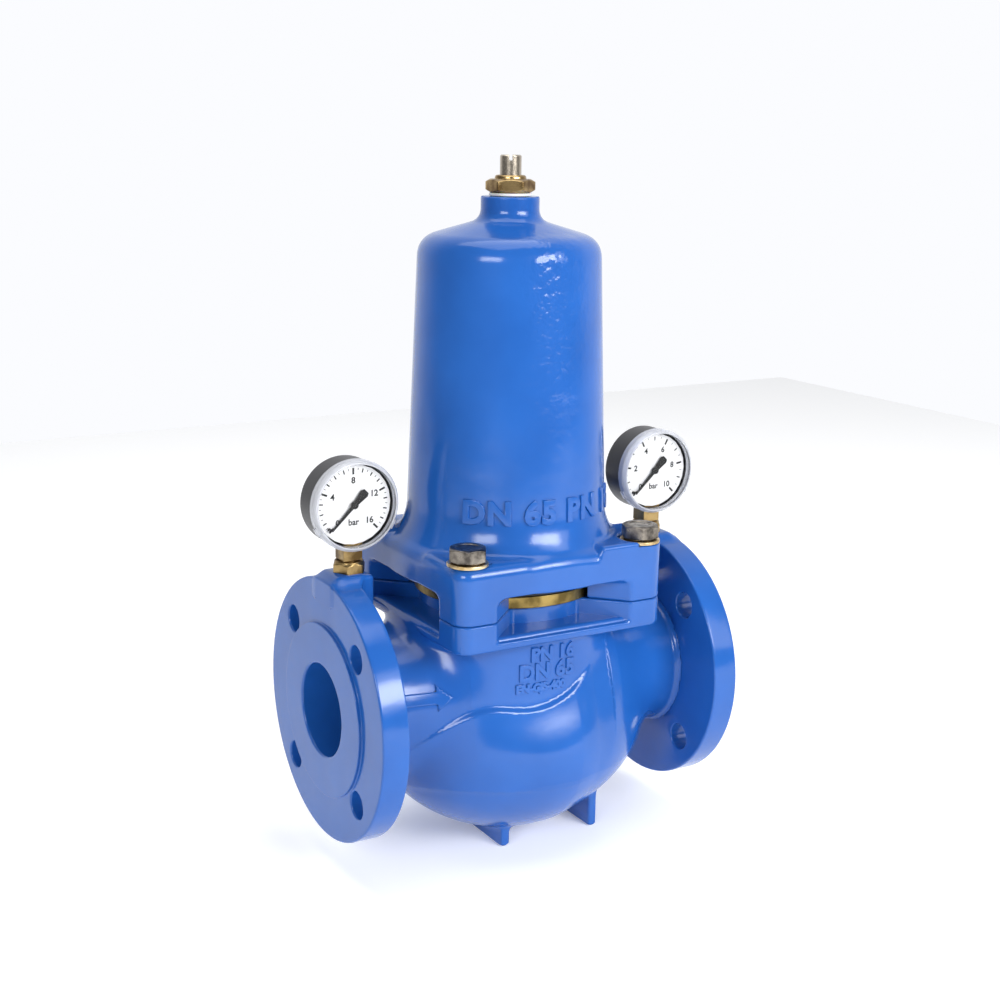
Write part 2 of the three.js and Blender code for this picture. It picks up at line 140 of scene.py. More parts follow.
def branch(x, y, z):
    """A pipe stub turned about X: it narrows from the bowl to the hub and flares into the flange's
    back face."""
    reach = np.abs(x)
    neck = 49 + 11 * np.clip((112 - reach) / 52, 0, 1) ** 1.6
    flare_radius = 5.5
    flare = np.clip(reach - FLANGE_BACK + flare_radius, 0, flare_radius)
    neck = neck + flare_radius - np.sqrt(flare_radius**2 - flare**2 + 1e-9)
    end = reach - FLANGE_BACK - HIDDEN
    return rounded(np.hypot(y, z) - neck, end, 0.3)


def box_distance(x, y, z, centre, half, radius):
    """Distance to a box with rounded edges."""
    q = np.stack([np.abs(p - c) - h + radius for p, c, h in zip((x, y, z), centre, half)])
    return np.sqrt((np.maximum(q, 0) ** 2).sum(0)) + np.minimum(q.max(0), 0) - radius


def gauge_boss(x, y, z):
    """A boss for the gauge stem on the flange's rim, with fillets running down on to the rim on
    both sides."""
    reach = np.abs(x)
    boss = box_distance(reach, y, z, (GAUGE_X + 0.5, 0, BOSS_TOP - 14), (13.5, 13.5, 14), 3)
    sector = rounded(np.hypot(y, z) - FLANGE_RADIUS + HIDDEN,
                     np.abs(reach - FACE + 12.3) - 9.8 + HIDDEN, 1.2)
    sector = np.maximum(sector, np.maximum(np.abs(y) - 40, 76 - z))
    return filleted(boss, sector, 11)


def bulge(x, y, z):
    """The bowl: an ellipsoid that is fuller low down, as the sand mould's draft leaves it, and
    whose shoulder leans in towards the ridge line over about 50 mm."""
    draft = 1 + 0.0024 * (np.clip(z, -52, 45) + 30)
    return rounded(ellipsoid(x, y * draft, z, (5, 0, -15), (107.8, 84.5, 92.8)),
                   below(ridge, x, z) - 14, 56)


def body_outside(x, y, z):
    bowl = bulge(x, y, z)
    column = oval(x, y, -3, (75, 70.5), 2.5)
    column = np.maximum(column, np.maximum(z - 53, -45 - z))
    upper = filleted(column, branch(x, y, z), 16)
    solid = filleted(upper, bowl, 12)
    lip = 1.8 * np.clip((34 - x) / 18, 0, 1)
    step = np.clip(0.5 - below(ridge, x, z) / 4, 0, 1)
    solid = solid - lip * step * step * (3 - 2 * step)
    plate = box_distance(x, y, z, (0, 0, 56), (80, 80, 4.3), 3)
    solid = filleted(solid, plate, 9)
    for foot_x in (-17.5, 57.5):
        rail = box_distance(x, y, z, (foot_x, 0, FLOOR + 30), (3.5, 37, 30), 1.3)
        solid = filleted(solid, rail, 5)
    return np.minimum(solid, gauge_boss(x, y, z))


def body_inside(x, y, z):
    """The inlet room above the web, the outlet room below it, both pipe bores, the seat and the top
    bore."""
    room = rounded(oval(x, y, -4, (62, 58), 2), np.abs(z + 5) - 51, 6)
    room = rounded(room, -below(web, x, z) + 5, 4)
    bowl = rounded(bulge(x, y, z) + 7, below(web, x + 4, z) + 5, 4)
    bowl = np.maximum(bowl, z - 50)
    bores = rounded(np.hypot(y, z) - BORE - 0.6, np.minimum(np.abs(x + 110) - 60, np.abs(x - 118) - 55),
                    3)
    seat = np.maximum(np.hypot(x, y) - 40, np.abs(z + 1) - 9)
    disc_room = np.maximum(np.hypot(x, y) - 38.8, np.abs(z + 24) - 11)
    top = np.maximum(np.hypot(x, y) - 50, np.abs(z - 62) - 22)
    gauge_port = np.maximum(np.hypot(np.abs(x) - GAUGE_X, y) - 6.9, 78 - z)
    pocket = filleted(filleted(room, bores, 5), bowl, 1)
    return np.minimum(np.minimum(pocket, np.minimum(seat, disc_room)), np.minimum(top, gauge_port))


def body_metal(x, y, z):
    return rounded(body_outside(x, y, z), -body_inside(x, y, z), 1.2)


def downhill(metal, points, step):
    """Value and gradient of a distance field at points, by central differences."""
    value = metal(*points.T)
    slope = np.empty_like(points)
    for axis in range(3):
        ahead, behind = points.copy(), points.copy()
        ahead[:, axis] += step
        behind[:, axis] -= step
        slope[:, axis] = (metal(*ahead.T) - metal(*behind.T)) / (2 * step)
    return value, slope


def skin(metal, xs, ys, zs, rounds=2):
    """Surface nets over a grid whose lines may be unevenly spaced: one point in every grid box that
    the surface crosses, at the mean of the crossings on the box's edges, and one square across
    every grid edge that is cut. The points are relaxed towards their neighbours and stepped back
    along the gradient on to the surface. Returns points, squares facing out, and the surface's own
    normals."""
    lines = [np.asarray(line, float) for line in (xs, ys, zs)]
    value = metal(*np.meshgrid(*lines, indexing="ij"))
    inside = value < 0
    box_shape = np.array(value.shape) - 1
    crossings, boxes, squares = [], [], []
    for axis in range(3):
        ahead = np.roll(inside, -1, axis) != inside
        ahead[tuple(-1 if a == axis else slice(None) for a in range(3))] = False
        low = np.argwhere(ahead)
        high = low.copy()
        high[:, axis] += 1
        a, b = value[tuple(low.T)], value[tuple(high.T)]
        share = a / (a - b)
        point = np.stack([line[low[:, i]] for i, line in enumerate(lines)], 1)
        point[:, axis] += share * (lines[axis][high[:, axis]] - lines[axis][low[:, axis]])
        u, v = (axis + 1) % 3, (axis + 2) % 3
        around = []
        for du, dv in ((1, 1), (0, 1), (0, 0), (1, 0)):
            box = low.copy()
            box[:, u] -= du
            box[:, v] -= dv
            around.append(np.ravel_multi_index(box.T, box_shape))
            crossings.append(point)
        around = np.stack(around, 1)
        outward = inside[tuple(low.T)]
        squares.append(np.where(outward[:, None], around, around[:, ::-1]))
        boxes.append(around.T.ravel())
    _, number = np.unique(np.concatenate(boxes), return_inverse=True)
    crossings = np.concatenate(crossings)
    hits = np.bincount(number)
    points = np.stack([np.bincount(number, crossings[:, i]) / hits for i in range(3)], 1)
    used = np.unique(np.concatenate(boxes))
    faces = np.searchsorted(used, np.concatenate(squares))
    near, far = faces.ravel(), np.roll(faces, 1, 1).ravel()
    links = np.bincount(near, minlength=len(points)) * 2
    for _ in range(rounds):
        total = np.stack([np.bincount(near, points[far, i],
                                      len(points)) + np.bincount(far, points[near, i], len(points))
                          for i in range(3)], 1)
        points = points * 0.4 + total / links[:, None] * 0.6
        for _ in range(2):
            offset, slope = downhill(metal, points, 0.05)
            size = np.maximum((slope * slope).sum(1), 0.2)
            points = points - slope * np.clip(offset / size, -1, 1)[:, None]
    _, normals = downhill(metal, points, 0.3)
    normals /= np.maximum(np.linalg.norm(normals, axis=1, keepdims=True), 1e-9)
    return points, faces, normals


def heights(node):
    """A CAD node's lowest and highest points, as heights in the drawing."""
    return [(corner.z - AXIS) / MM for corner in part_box(node)]


def to_frame(points):
    """Drawing millimetres about the pipe axis to metres in the row frame."""
    return np.asarray(points, float) * MM + np.array([0, 0, AXIS])


def new_piece(name, points, faces, material, body, replaced=(), normals=None):
    """A mesh object at the origin from drawing points, smooth shaded, riding on a body."""
    mesh = bpy.data.meshes.new(name)
    mesh.from_pydata(to_frame(points), [], faces if isinstance(faces, list) else faces.tolist())
    mesh.shade_smooth()
    if normals is not None:
        mesh.normals_split_custom_set_from_vertices(normals)
    mesh.materials.append(material)
    piece = bpy.data.objects.new(name, mesh)
    bpy.context.scene.collection.objects.link(piece)
    if body:
        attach(piece, body)
    if replaced:
        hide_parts(*replaced)
    return piece


def colour(hex_value):
    """sRGB hex to the linear colour that a shader takes."""
    channels = [int(hex_value[i:i + 2], 16) / 255 for i in (1, 3, 5)]
    linear = [c / 12.92 if c <= 0.04045 else ((c + 0.055) / 1.055) ** 2.4 for c in channels]
    return (*linear, 1.0)


def add_node(tree, kind, inputs=None, **settings):
    """Adds one node; inputs holds a value or a linked socket for each named socket."""
    made = tree.nodes.new(kind)
    for key, value in settings.items():
        setattr(made, key, value)
    for key, value in (inputs or {}).items():
        if isinstance(value, bpy.types.NodeSocket):
            tree.links.new(value, made.inputs[key])
        else:
            made.inputs[key].default_value = value
    return made


def start_material(name, **sockets):
    """A Principled material with those sockets set, and its tree, shader and Object coordinates."""
    material = bpy.data.materials.new(name)
    material.use_nodes = True
    tree = material.node_tree
    shader = tree.nodes["Principled BSDF"]
    for key, value in sockets.items():
        shader.inputs[key.replace("_", " ")].default_value = value
    place = add_node(tree, "ShaderNodeTexCoord").outputs["Object"]
    return material, tree, shader, place


def noise(tree, place, size, detail):
    """A noise texture whose features are that many metres across."""
    return add_node(tree, "ShaderNodeTexNoise", {"Vector": place, "Scale": 1 / size, "Detail": detail})


def two_tone(tree, shader, texture, low, high):
    """Colours the shader between two hex values by the texture."""
    tint = add_node(tree, "ShaderNodeValToRGB", {"Fac": texture.outputs["Fac"]})
    tint.color_ramp.elements[0].color, tint.color_ramp.elements[1].color = colour(low), colour(high)
    tree.links.new(tint.outputs["Color"], shader.inputs["Base Color"])


def uneven_gloss(tree, shader, texture, low, high):
    """Varies the shader's roughness between two values by the texture."""
    gloss = add_node(tree, "ShaderNodeMapRange",
                     {"Value": texture.outputs["Fac"], "To Min": low, "To Max": high})
    tree.links.new(gloss.outputs["Result"], shader.inputs["Roughness"])


def uneven_surface(tree, shader, texture, distance, strength):
    """Raises the shader's surface by the texture, up to a distance in metres."""
    bump = add_node(tree, "ShaderNodeBump",
                    {"Height": texture.outputs["Fac"], "Distance": distance, "Strength": strength})
    tree.links.new(bump.outputs["Normal"], shader.inputs["Normal"])


ROUGH_SPOT = (0.0, -0.064, AXIS + 0.285)  # where the spring bonnet's mould was rammed loosely


def epoxy_powder_coat():
    """Fusion-bonded epoxy on a sand casting: glossy, with orange peel about 2.5 mm across, the
    casting's long waves showing through as a wobble in every highlight, and one patch where the
    sand's lumps of 3 to 4 mm stand up."""
    material, tree, shader, place = start_material("blue epoxy powder coat", Metallic=0.0, IOR=1.48)
    drift = noise(tree, place, 0.06, 3.0)
    tint = add_node(tree, "ShaderNodeValToRGB", {"Fac": drift.outputs["Fac"]})
    tint.color_ramp.elements[0].position = 0.3
    tint.color_ramp.elements[0].color = colour("#1C53A0")
    tint.color_ramp.elements[1].position = 0.7
    tint.color_ramp.elements[1].color = colour("#225DAE")
    tree.links.new(tint.outputs["Color"], shader.inputs["Base Color"])
    uneven_gloss(tree, shader, drift, 0.13, 0.2)
    peel = noise(tree, place, 0.005, 1.0)
    wave = noise(tree, place, 0.03, 1.0)
    lumps = noise(tree, place, 0.008, 2.0)
    reach = add_node(tree, "ShaderNodeVectorMath", {0: place, 1: ROUGH_SPOT}, operation="SUBTRACT")
    tall = add_node(tree, "ShaderNodeVectorMath", {0: reach.outputs["Vector"], 1: (1, 1, 0.3)},
                    operation="MULTIPLY")
    away = add_node(tree, "ShaderNodeVectorMath", {0: tall.outputs["Vector"]}, operation="LENGTH")
    where = add_node(tree, "ShaderNodeMapRange",
                     {"Value": away.outputs["Value"], "From Min": 0.012, "From Max": 0.034, "To Min": 1,
                      "To Max": 0.03})
    sand = add_node(tree, "ShaderNodeMath", {0: lumps.outputs["Fac"], 1: where.outputs["Result"]},
                    operation="MULTIPLY")
    long_wave = add_node(tree, "ShaderNodeBump",
                         {"Height": wave.outputs["Fac"], "Distance": 0.0009, "Strength": 0.6})
    grain = add_node(tree, "ShaderNodeBump",
                     {"Height": sand.outputs["Value"], "Distance": 0.0012, "Strength": 0.8,
                      "Normal": long_wave.outputs["Normal"]})
    fine = add_node(tree, "ShaderNodeBump",
                    {"Height": peel.outputs["Fac"], "Distance": 0.00006, "Strength": 0.6,
                     "Normal": grain.outputs["Normal"]})
    tree.links.new(fine.outputs["Normal"], shader.inputs["Normal"])
    return material


blue_coat = epoxy_powder_coat()
body_points, body_faces, body_normals = skin(
    body_metal, np.arange(-149, 149.1, 1.9), np.arange(-90, 90.1, 1.9),
    np.arange(FLOOR - 2, BOSS_TOP + 3, 1.9))
new_piece("body_casting", body_points, body_faces, blue_coat, "valve", ["valve_body"],
          body_normals)

# --------------------------------------------------------------------------------------------------
# Body top plate: the square flange of the same casting, machined on top, with a drained pocket in
# the middle of each side, a ring round the cartridge bore and four tapped corners that the bonnet's
# legs are bolted down on.
# --------------------------------------------------------------------------------------------------
SQUARE = 82.5
CORNER_RADIUS = 12
PLATE_LOW, PLATE_HIGH = 51.5, 71.5
POCKET_FLOOR = 57.5
BOLT_AT = 69


def square_bar(x, y, half, radius):
    """Distance to an endless upright bar of square section with rounded corners."""
    qx, qy = np.abs(x) - half + radius, np.abs(y) - half + radius
    return np.hypot(np.maximum(qx, 0), np.maximum(qy, 0)) + np.minimum(np.maximum(qx, qy), 0) - radius


def side_pocket(x, y, half=54, depth=34):
    """Distance to an endless trapezium cut into each of the four sides, with its ends leaning in at
    45 degrees."""
    across, along = np.maximum(np.abs(x), np.abs(y)), np.minimum(np.abs(x), np.abs(y))
    back = SQUARE - depth - across
    ends = (along - half + SQUARE - across) / math.sqrt(2)
    return rounded(back, ends, 5)


def corner_distance(x, y):
    return np.hypot(np.abs(x) - BOLT_AT, np.abs(y) - BOLT_AT)


def top_plate(x, y, z):
    slab = square_bar(x, y, SQUARE, CORNER_RADIUS)
    slab = rounded(slab, PLATE_LOW - z, 4)
    slab = rounded(slab, z - PLATE_HIGH, 1.2)
    pocket = rounded(side_pocket(x, y), POCKET_FLOOR - z, 2.5)
    pocket = rounded(pocket, 61 - np.hypot(x, y), 2.5)
    slab = rounded(slab, -pocket, 1.6)
    slab = rounded(slab, 50 - np.hypot(x, y), 0.8)
    return rounded(slab, 8.4 - corner_distance(x, y), 0.6)


plate_lines = np.arange(-SQUARE - 2.1, SQUARE + 2.2, 1.4)
plate_points, plate_faces, plate_normals = skin(
    top_plate, plate_lines, plate_lines, np.arange(PLATE_LOW - 1.5, PLATE_HIGH + 2, 1.0))
new_piece("body_top_plate", plate_points, plate_faces, blue_coat, "valve",
          normals=plate_normals)

# --------------------------------------------------------------------------------------------------
# Pipe flanges: the two ends of the casting, turned on the face, the rim and the back and drilled
# with four holes astride the vertical. Each carries a raised sealing face 2.5 mm high, and its bore
# runs on into the branch.
# --------------------------------------------------------------------------------------------------
RAISED_FACE_RADIUS = 61
FACE_STEP = 2.5
HOLE_RADIUS = 9.5
HOLE_CIRCLE = 72.5


def eased(profile, steps=4, closed=True):
    """A profile of (radius, height, corner radius) with each corner turned into an arc that is
    tangent to both its sides: the arc's centre lies on the corner's bisector, at the corner radius
    over the half angle's sine."""
    corners = np.array([p[:2] for p in profile], float)
    out = []
    for i, (_, _, size) in enumerate(profile):
        here = corners[i]
        if size == 0 or (not closed and i in (0, len(profile) - 1)):
            out.append(here[None])
            continue
        before, after = corners[i - 1] - here, corners[(i + 1) % len(corners)] - here
        before, after = before / np.hypot(*before), after / np.hypot(*after)
        half = math.acos(np.clip(before @ after, -1, 1)) / 2
        middle = (before + after) / np.hypot(*(before + after))
        centre = here + middle * size / math.sin(half)
        start = here + before * size / math.tan(half) - centre
        end = here + after * size / math.tan(half) - centre
        turn = math.atan2(start[0] * end[1] - start[1] * end[0], start @ end)
        angle = np.linspace(0, turn, steps + 1)[:, None]
        out.append(centre + start * np.cos(angle) + np.array([-start[1], start[0]]) * np.sin(angle))
    return np.concatenate(out)


def around(radius, height, closed):
    """A surface about Z from two arrays, profile point by angle step. Its faces point out where the
    profile runs up the outside."""
    rows, columns = radius.shape
    angle = np.arange(columns) * 2 * np.pi / columns
    points = np.stack([radius * np.cos(angle), radius * np.sin(angle), height], -1).reshape(-1, 3)
    i, j = np.meshgrid(np.arange(rows if closed else rows - 1), np.arange(columns), indexing="ij")
    up, over = (i + 1) % rows, (j + 1) % columns
    faces = np.stack([i * columns + j, i * columns + over, up * columns + over, up * columns + j],
                     -1).reshape(-1, 4)
    return points, faces


def turned(profile, segments=96, closed=True, steps=4):
    """A lathe-turned surface about Z from a profile of (radius, height, corner radius)."""
    line = eased(profile, steps, closed)
    radius = np.repeat(line[:, :1], segments, 1)
    return around(radius, np.repeat(line[:, 1:], segments, 1), closed)


def spun(points, angle):
    """Points turned about Z by an angle."""
    turn = np.array([[math.cos(angle), -math.sin(angle), 0], [math.sin(angle), math.cos(angle), 0],
                     [0, 0, 1]])
    return points @ turn.T


def along_x(points, side):
    """Turns Z to +X for side 1, or to -X for side -1."""
    x, y, z = points.T
    return np.stack([side * z, y, -side * x], 1)


def settle_mesh(piece):
    """Merges the points that meet at seams and poles, and weights the normals by face area, so that
    flats stay flat and the arcs between them carry the turn."""
    edit = bmesh.new()
    edit.from_mesh(piece.data)
    bmesh.ops.remove_doubles(edit, verts=edit.verts, dist=1e-7)
    edit.to_mesh(piece.data)
    edit.free()
    weighted = piece.modifiers.new("area weighted normals", "WEIGHTED_NORMAL")
    weighted.mode = "FACE_AREA"
    weighted.keep_sharp = False
    return piece


def cut_away(piece, tools):
    """Cuts closed meshes, given as points and faces, out of a piece for good."""
    for points, faces in tools:
        mesh = bpy.data.meshes.new("cutter")
        mesh.from_pydata(to_frame(points), [], faces.tolist())
        cutter = bpy.data.objects.new("cutter", mesh)
        bpy.context.scene.collection.objects.link(cutter)
        settle_mesh(cutter)
        cutter.modifiers.clear()
        cut = piece.modifiers.new("cut", "BOOLEAN")
        cut.operation, cut.object, cut.solver = "DIFFERENCE", cutter, "EXACT"
        settled = piece.evaluated_get(bpy.context.evaluated_depsgraph_get())
        shaped = bpy.data.meshes.new_from_object(settled)
        piece.modifiers.remove(cut)
        piece.data = shaped
        bpy.data.objects.remove(cutter)
    piece.data.shade_smooth()
    return piece


def pipe_flange(name, side):
    step = FACE - FACE_STEP
    points, faces = turned([
        (BORE, 84, 0), (BORE + 0.4, 84, 0), (BORE + 0.4, FLANGE_BACK + 6, 0), (51, FLANGE_BACK + 6, 0),
        (51, FLANGE_BACK, 0), (FLANGE_RADIUS - 3, FLANGE_BACK, 0), (FLANGE_RADIUS, FLANGE_BACK, 1.4),
        (FLANGE_RADIUS, FLANGE_BACK + 3, 0), (FLANGE_RADIUS, step - 3, 0), (FLANGE_RADIUS, step, 1.4),
        (FLANGE_RADIUS - 3, step, 0), (RAISED_FACE_RADIUS + 1.6, step, 0),
        (RAISED_FACE_RADIUS, step, 0.8),
        (RAISED_FACE_RADIUS, FACE, 0.6), (RAISED_FACE_RADIUS - 2, FACE, 0), (BORE + 3, FACE, 0),
        (BORE, FACE, 1.6)],
        segments=192)
    piece = new_piece(name, along_x(points, side), faces, blue_coat, "valve")
    settle_mesh(piece)
    piece.modifiers.clear()
    mouth, past = 0.9, 0.4
    hole, hole_faces = turned([
        (0, FLANGE_BACK - past, 0), (HOLE_RADIUS + mouth + past, FLANGE_BACK - past, 0),
        (HOLE_RADIUS, FLANGE_BACK + mouth, 1.6), (HOLE_RADIUS, step - mouth, 1.6),
        (HOLE_RADIUS + mouth + past, step + past, 0), (0, step + past, 0)], segments=48, closed=False)
    holes = []
    for quarter in range(4):
        angle = (quarter + 0.5) * np.pi / 2
        shift = np.array([HOLE_CIRCLE * math.cos(angle), HOLE_CIRCLE * math.sin(angle), 0])
        holes.append((along_x(hole + shift, side), hole_faces))
    cut_away(piece, holes)
    return settle_mesh(piece)


pipe_flange("inlet_pipe_flange", -1)
pipe_flange("outlet_pipe_flange", 1)

# --------------------------------------------------------------------------------------------------
# Cast marks: an arrow for the direction of flow and plain size, pressure and iron-grade marks,
# which the foundry pattern raises by under a millimetre, so that the coat runs over them with soft
# edges.
# --------------------------------------------------------------------------------------------------
def lettering(text, height, spacing=1.0, thickness=1.0, soften=0.35, bolder=0.35):
    """Letters as a mesh standing on the plane of x and y, centred, with capitals of that height."""
    face = bpy.data.curves.new("letters", "FONT")
    face.body, face.size, face.space_character = text, height / 0.7, spacing
    face.align_x, face.align_y, face.offset = "CENTER", "CENTER", bolder
    face.extrude, face.bevel_depth, face.bevel_resolution, face.resolution_u = thickness, soften, 1, 3
    letters = bpy.data.objects.new("letters", face)
    bpy.context.scene.collection.objects.link(letters)
    mesh = bpy.data.meshes.new_from_object(letters.evaluated_get(bpy.context.evaluated_depsgraph_get()))
    bpy.data.objects.remove(letters)
    points = np.empty(len(mesh.vertices) * 3)
    mesh.vertices.foreach_get("co", points)
    return points.reshape(-1, 3), [list(p.vertices) for p in mesh.polygons]


def laid_on(metal, points, sink, wrap=None):
    """Lays a relief on a casting's front: each point looks along +Y, or towards the Z axis where it
    is wrapped at a radius, until it meets the metal, then stands off along the surface's normal by
    its own height less the sink."""
    turn = points[:, 0] / wrap if wrap else np.zeros(len(points))
    look = np.stack([-np.sin(turn), np.cos(turn), 0 * turn], 1)
    spot = np.stack([0 * turn if wrap else points[:, 0], 0 * turn, points[:, 1]], 1) - 130 * look
    for _ in range(40):
        spot += look * np.clip(metal(*spot.T), -4, 6)[:, None]
    _, normal = downhill(metal, spot, 0.3)
    normal /= np.linalg.norm(normal, axis=1, keepdims=True)
    return spot + normal * (points[:, 2:] - sink)


def relief(name, metal, points, faces, wrap=None):
    piece = new_piece(name, laid_on(metal, points, 0.15, wrap), faces, blue_coat, "valve")
    return settle_mesh(piece)


for name, text, height, x, z in (("cast_pressure_mark", "PN 16", 9.5, -2, 40),
                                 ("cast_size_mark", "DN 65", 11, -6, 27.5),
                                 ("cast_grade_mark", "EN-GJS-400", 5.5, -11, 16.6)):
    letters, letter_faces = lettering(text, height)
    relief(name, body_outside, letters + np.array([x, z, 0]), letter_faces)

arrow_outline = [(-22, -4.2), (10, -4.2), (10, -9), (20.5, 0), (10, 9), (10, 4.2), (-22, 4.2)]


def flat_relief(outline, thickness=0.9, cell=2.0):
    """A flat outline raised by its thickness, with cross cuts every cell so that it can follow a
    curved wall."""
    edit = bmesh.new()
    rim = [edit.verts.new((u, v, thickness)) for u, v in outline]
    top = edit.faces.new(rim)
    if top.normal.z < 0:
        top.normal_flip()
    low, high = np.min(outline, 0), np.max(outline, 0)
    for axis in range(2):
        for cut in np.arange(low[axis] + cell, high[axis], cell):
            place, normal = [0, 0, 0], [0, 0, 0]
            place[axis], normal[axis] = cut, 1
            bmesh.ops.bisect_plane(edit, geom=[*edit.verts, *edit.edges, *edit.faces], plane_co=place,
                                   plane_no=normal)
    grown = bmesh.ops.extrude_face_region(edit, geom=list(edit.faces))
    under = [v for v in grown["geom"] if isinstance(v, bmesh.types.BMVert)]
    bmesh.ops.translate(edit, verts=under, vec=(0, 0, -2 * thickness))
    bmesh.ops.recalc_face_normals(edit, faces=edit.faces)
    edit.verts.index_update()
    points = np.array([v.co for v in edit.verts])
    faces = [[v.index for v in f.verts] for f in edit.faces]
    edit.free()
    return points, faces


arrow_points, arrow_faces = flat_relief(arrow_outline)
relief("cast_flow_arrow", body_outside, arrow_points + np.array([-92, 14.3, 0]), arrow_faces)

# --------------------------------------------------------------------------------------------------
# Spring bonnet: one iron casting with the same coat. Four corner legs carry a square rim with low
# blocks for the bolts; a spring housing with two degrees of draft stands on it, domed on top, with
# a tapped neck for the screw.
# --------------------------------------------------------------------------------------------------
LEG_FOOT = 71.8
WINDOW_TOP = 88
BLOCK_TOP = 111.2
TALL_BLOCK_TOP = 114
SPOT_FACE = 110.5
RIM_TOP = 110.6
NECK_RADIUS = 20.2
NECK_TOP = heights("spring_bonnet")[1]


def bonnet_outside(x, y, z):
    radius = np.hypot(x, y)
    along = np.minimum(np.abs(x), np.abs(y))
    rise = np.clip((along - 26) / 5, 0, 1)
    stands = np.where((x > 0) & (y < 0), TALL_BLOCK_TOP, BLOCK_TOP)
    rise = rise * rise * (3 - 2 * rise)
    block_top = RIM_TOP + (stands - RIM_TOP) * rise
    block = square_bar(x, y, SQUARE, CORNER_RADIUS)
    block = rounded(block, (z - block_top) * 0.96, 9 - 6 * rise * (stands > BLOCK_TOP))
    block = rounded(block, LEG_FOOT - z, 1.4)
    middle = rounded(radius - 68, z - WINDOW_TOP, 2)
    window = rounded(side_pocket(x, y), z - WINDOW_TOP, 7)
    block = rounded(block, -np.minimum(middle, window), 1.6)
    shoulder = rounded(radius - SQUARE + 0.2, (z - 113.2 + (radius - 75.5) * 0.98) * 0.714, 3)
    shoulder = rounded(shoulder, WINDOW_TOP - z, 1.2)
    draft = 0.0382
    wall = radius - 68.3 + (z - 185) * draft
    dome = rounded(wall, (z - 336.9 + radius * 0.3) * 0.958, 12)
    dome = np.maximum(dome, 95 - z)
    neck = np.maximum(radius - NECK_RADIUS, 300 - z)
    neck = rounded(neck, z - NECK_TOP, 1.2)
    collar = rounded(radius - 66, np.abs(z - 88.3) - 5.7, 1)
    solid = filleted(dome, neck, 7)
    solid = filleted(solid, shoulder, 12)
    return np.minimum(filleted(solid, block, 3), collar)


def bonnet_inside(x, y, z):
    radius = np.hypot(x, y)
    wall = radius - 61 + np.maximum(z - 180, 0) * 0.0375
    cavity = rounded(wall, (z - 327.5 + radius * 0.3) * 0.958, 12)
    cavity = np.maximum(cavity, 97 - z)
    throat = np.maximum(radius - 50, np.abs(z - 85) - 20)
    screw_hole = np.maximum(radius - 8.15, 300 - z)
    corner = corner_distance(x, y)
    holes = np.minimum(corner - 8.4, np.maximum(corner - 15.5, SPOT_FACE - z))
    return np.minimum(np.minimum(filleted(cavity, throat, 3), screw_hole), holes)


def bonnet_metal(x, y, z):
    return rounded(bonnet_outside(x, y, z), -bonnet_inside(x, y, z), 0.8)


bonnet_lines = np.arange(-SQUARE - 2.4, SQUARE + 2.5, 1.65)
bonnet_heights = np.concatenate([np.arange(LEG_FOOT - 1.5, 126, 1.25), np.arange(127, 302, 4.2),
                                 np.arange(303, NECK_TOP + 2.5, 1.8)])
bonnet_points, bonnet_faces, bonnet_normals = skin(bonnet_metal, bonnet_lines, bonnet_lines,
                                                   bonnet_heights)
new_piece("bonnet_casting", bonnet_points, bonnet_faces, blue_coat, "valve",
          ["spring_bonnet"],
          bonnet_normals)
letters, letter_faces = lettering("DN 65 PN 16", 15, spacing=1.12, thickness=1.2, soften=0.5, bolder=0.7)
relief("bonnet_cast_mark", bonnet_outside, letters + np.array([0, 139, 0]), letter_faces, wrap=70)

# --------------------------------------------------------------------------------------------------
# Cartridge housing: turned brass. Its flange is clamped between plate and bonnet and shows through
# the windows; below it a spigot with two O-ring grooves fills the body's top bore, and the balance
# piston runs inside it.
# --------------------------------------------------------------------------------------------------
def turned_brass(name="turned brass", hex_light="#A48C52", hex_dark="#65552F", roughness=0.3):
    """Machined brass: a dull gold that darkens in patches as it tarnishes, with tool marks about
    0.4 mm apart, drawn here at 0.8 mm so that they show, running round the turned faces."""
    material, tree, shader, place = start_material(name, Metallic=1.0, Roughness=roughness)
    tarnish = noise(tree, place, 0.011, 4.0)
    tint = add_node(tree, "ShaderNodeValToRGB", {"Fac": tarnish.outputs["Fac"]})
    tint.color_ramp.elements[0].position, tint.color_ramp.elements[0].color = 0.35, colour(hex_dark)
    tint.color_ramp.elements[1].position, tint.color_ramp.elements[1].color = 0.62, colour(hex_light)
    tree.links.new(tint.outputs["Color"], shader.inputs["Base Color"])
    uneven_gloss(tree, shader, tarnish, roughness + 0.16, roughness - 0.04)
    tool_marks = add_node(tree, "ShaderNodeTexWave",
                          {"Vector": place, "Scale": 1 / 0.0052, "Distortion": 0.6},
                          bands_direction="Z")
    uneven_surface(tree, shader, tool_marks, 0.00003, 0.35)
    return material


brass = turned_brass()
housing_low, housing_high = 71.8, 80.0
housing_points, housing_faces = turned([
    (31.5, 22, 0.5), (37, 22, 0.5), (37, 52, 1), (49.6, 52, 0.8), (49.6, 54.5, 0), (47.2, 54.5, 0.3),
    (47.2, 58.5, 0.3),
    (49.6, 58.5, 0), (49.6, 62.5, 0), (47.2, 62.5, 0.3), (47.2, 66.5, 0.3), (49.6, 66.5, 0),
    (49.6, housing_low, 0),
    (65, housing_low, 0.6), (65, housing_high, 0.8), (48, housing_high, 0.5), (48, 69, 0.8),
    (31.5, 69, 0.5)],
    segments=128, steps=3)
settle_mesh(new_piece("cartridge_housing", housing_points, housing_faces, brass, "valve",
                      ["insert_housing"]))

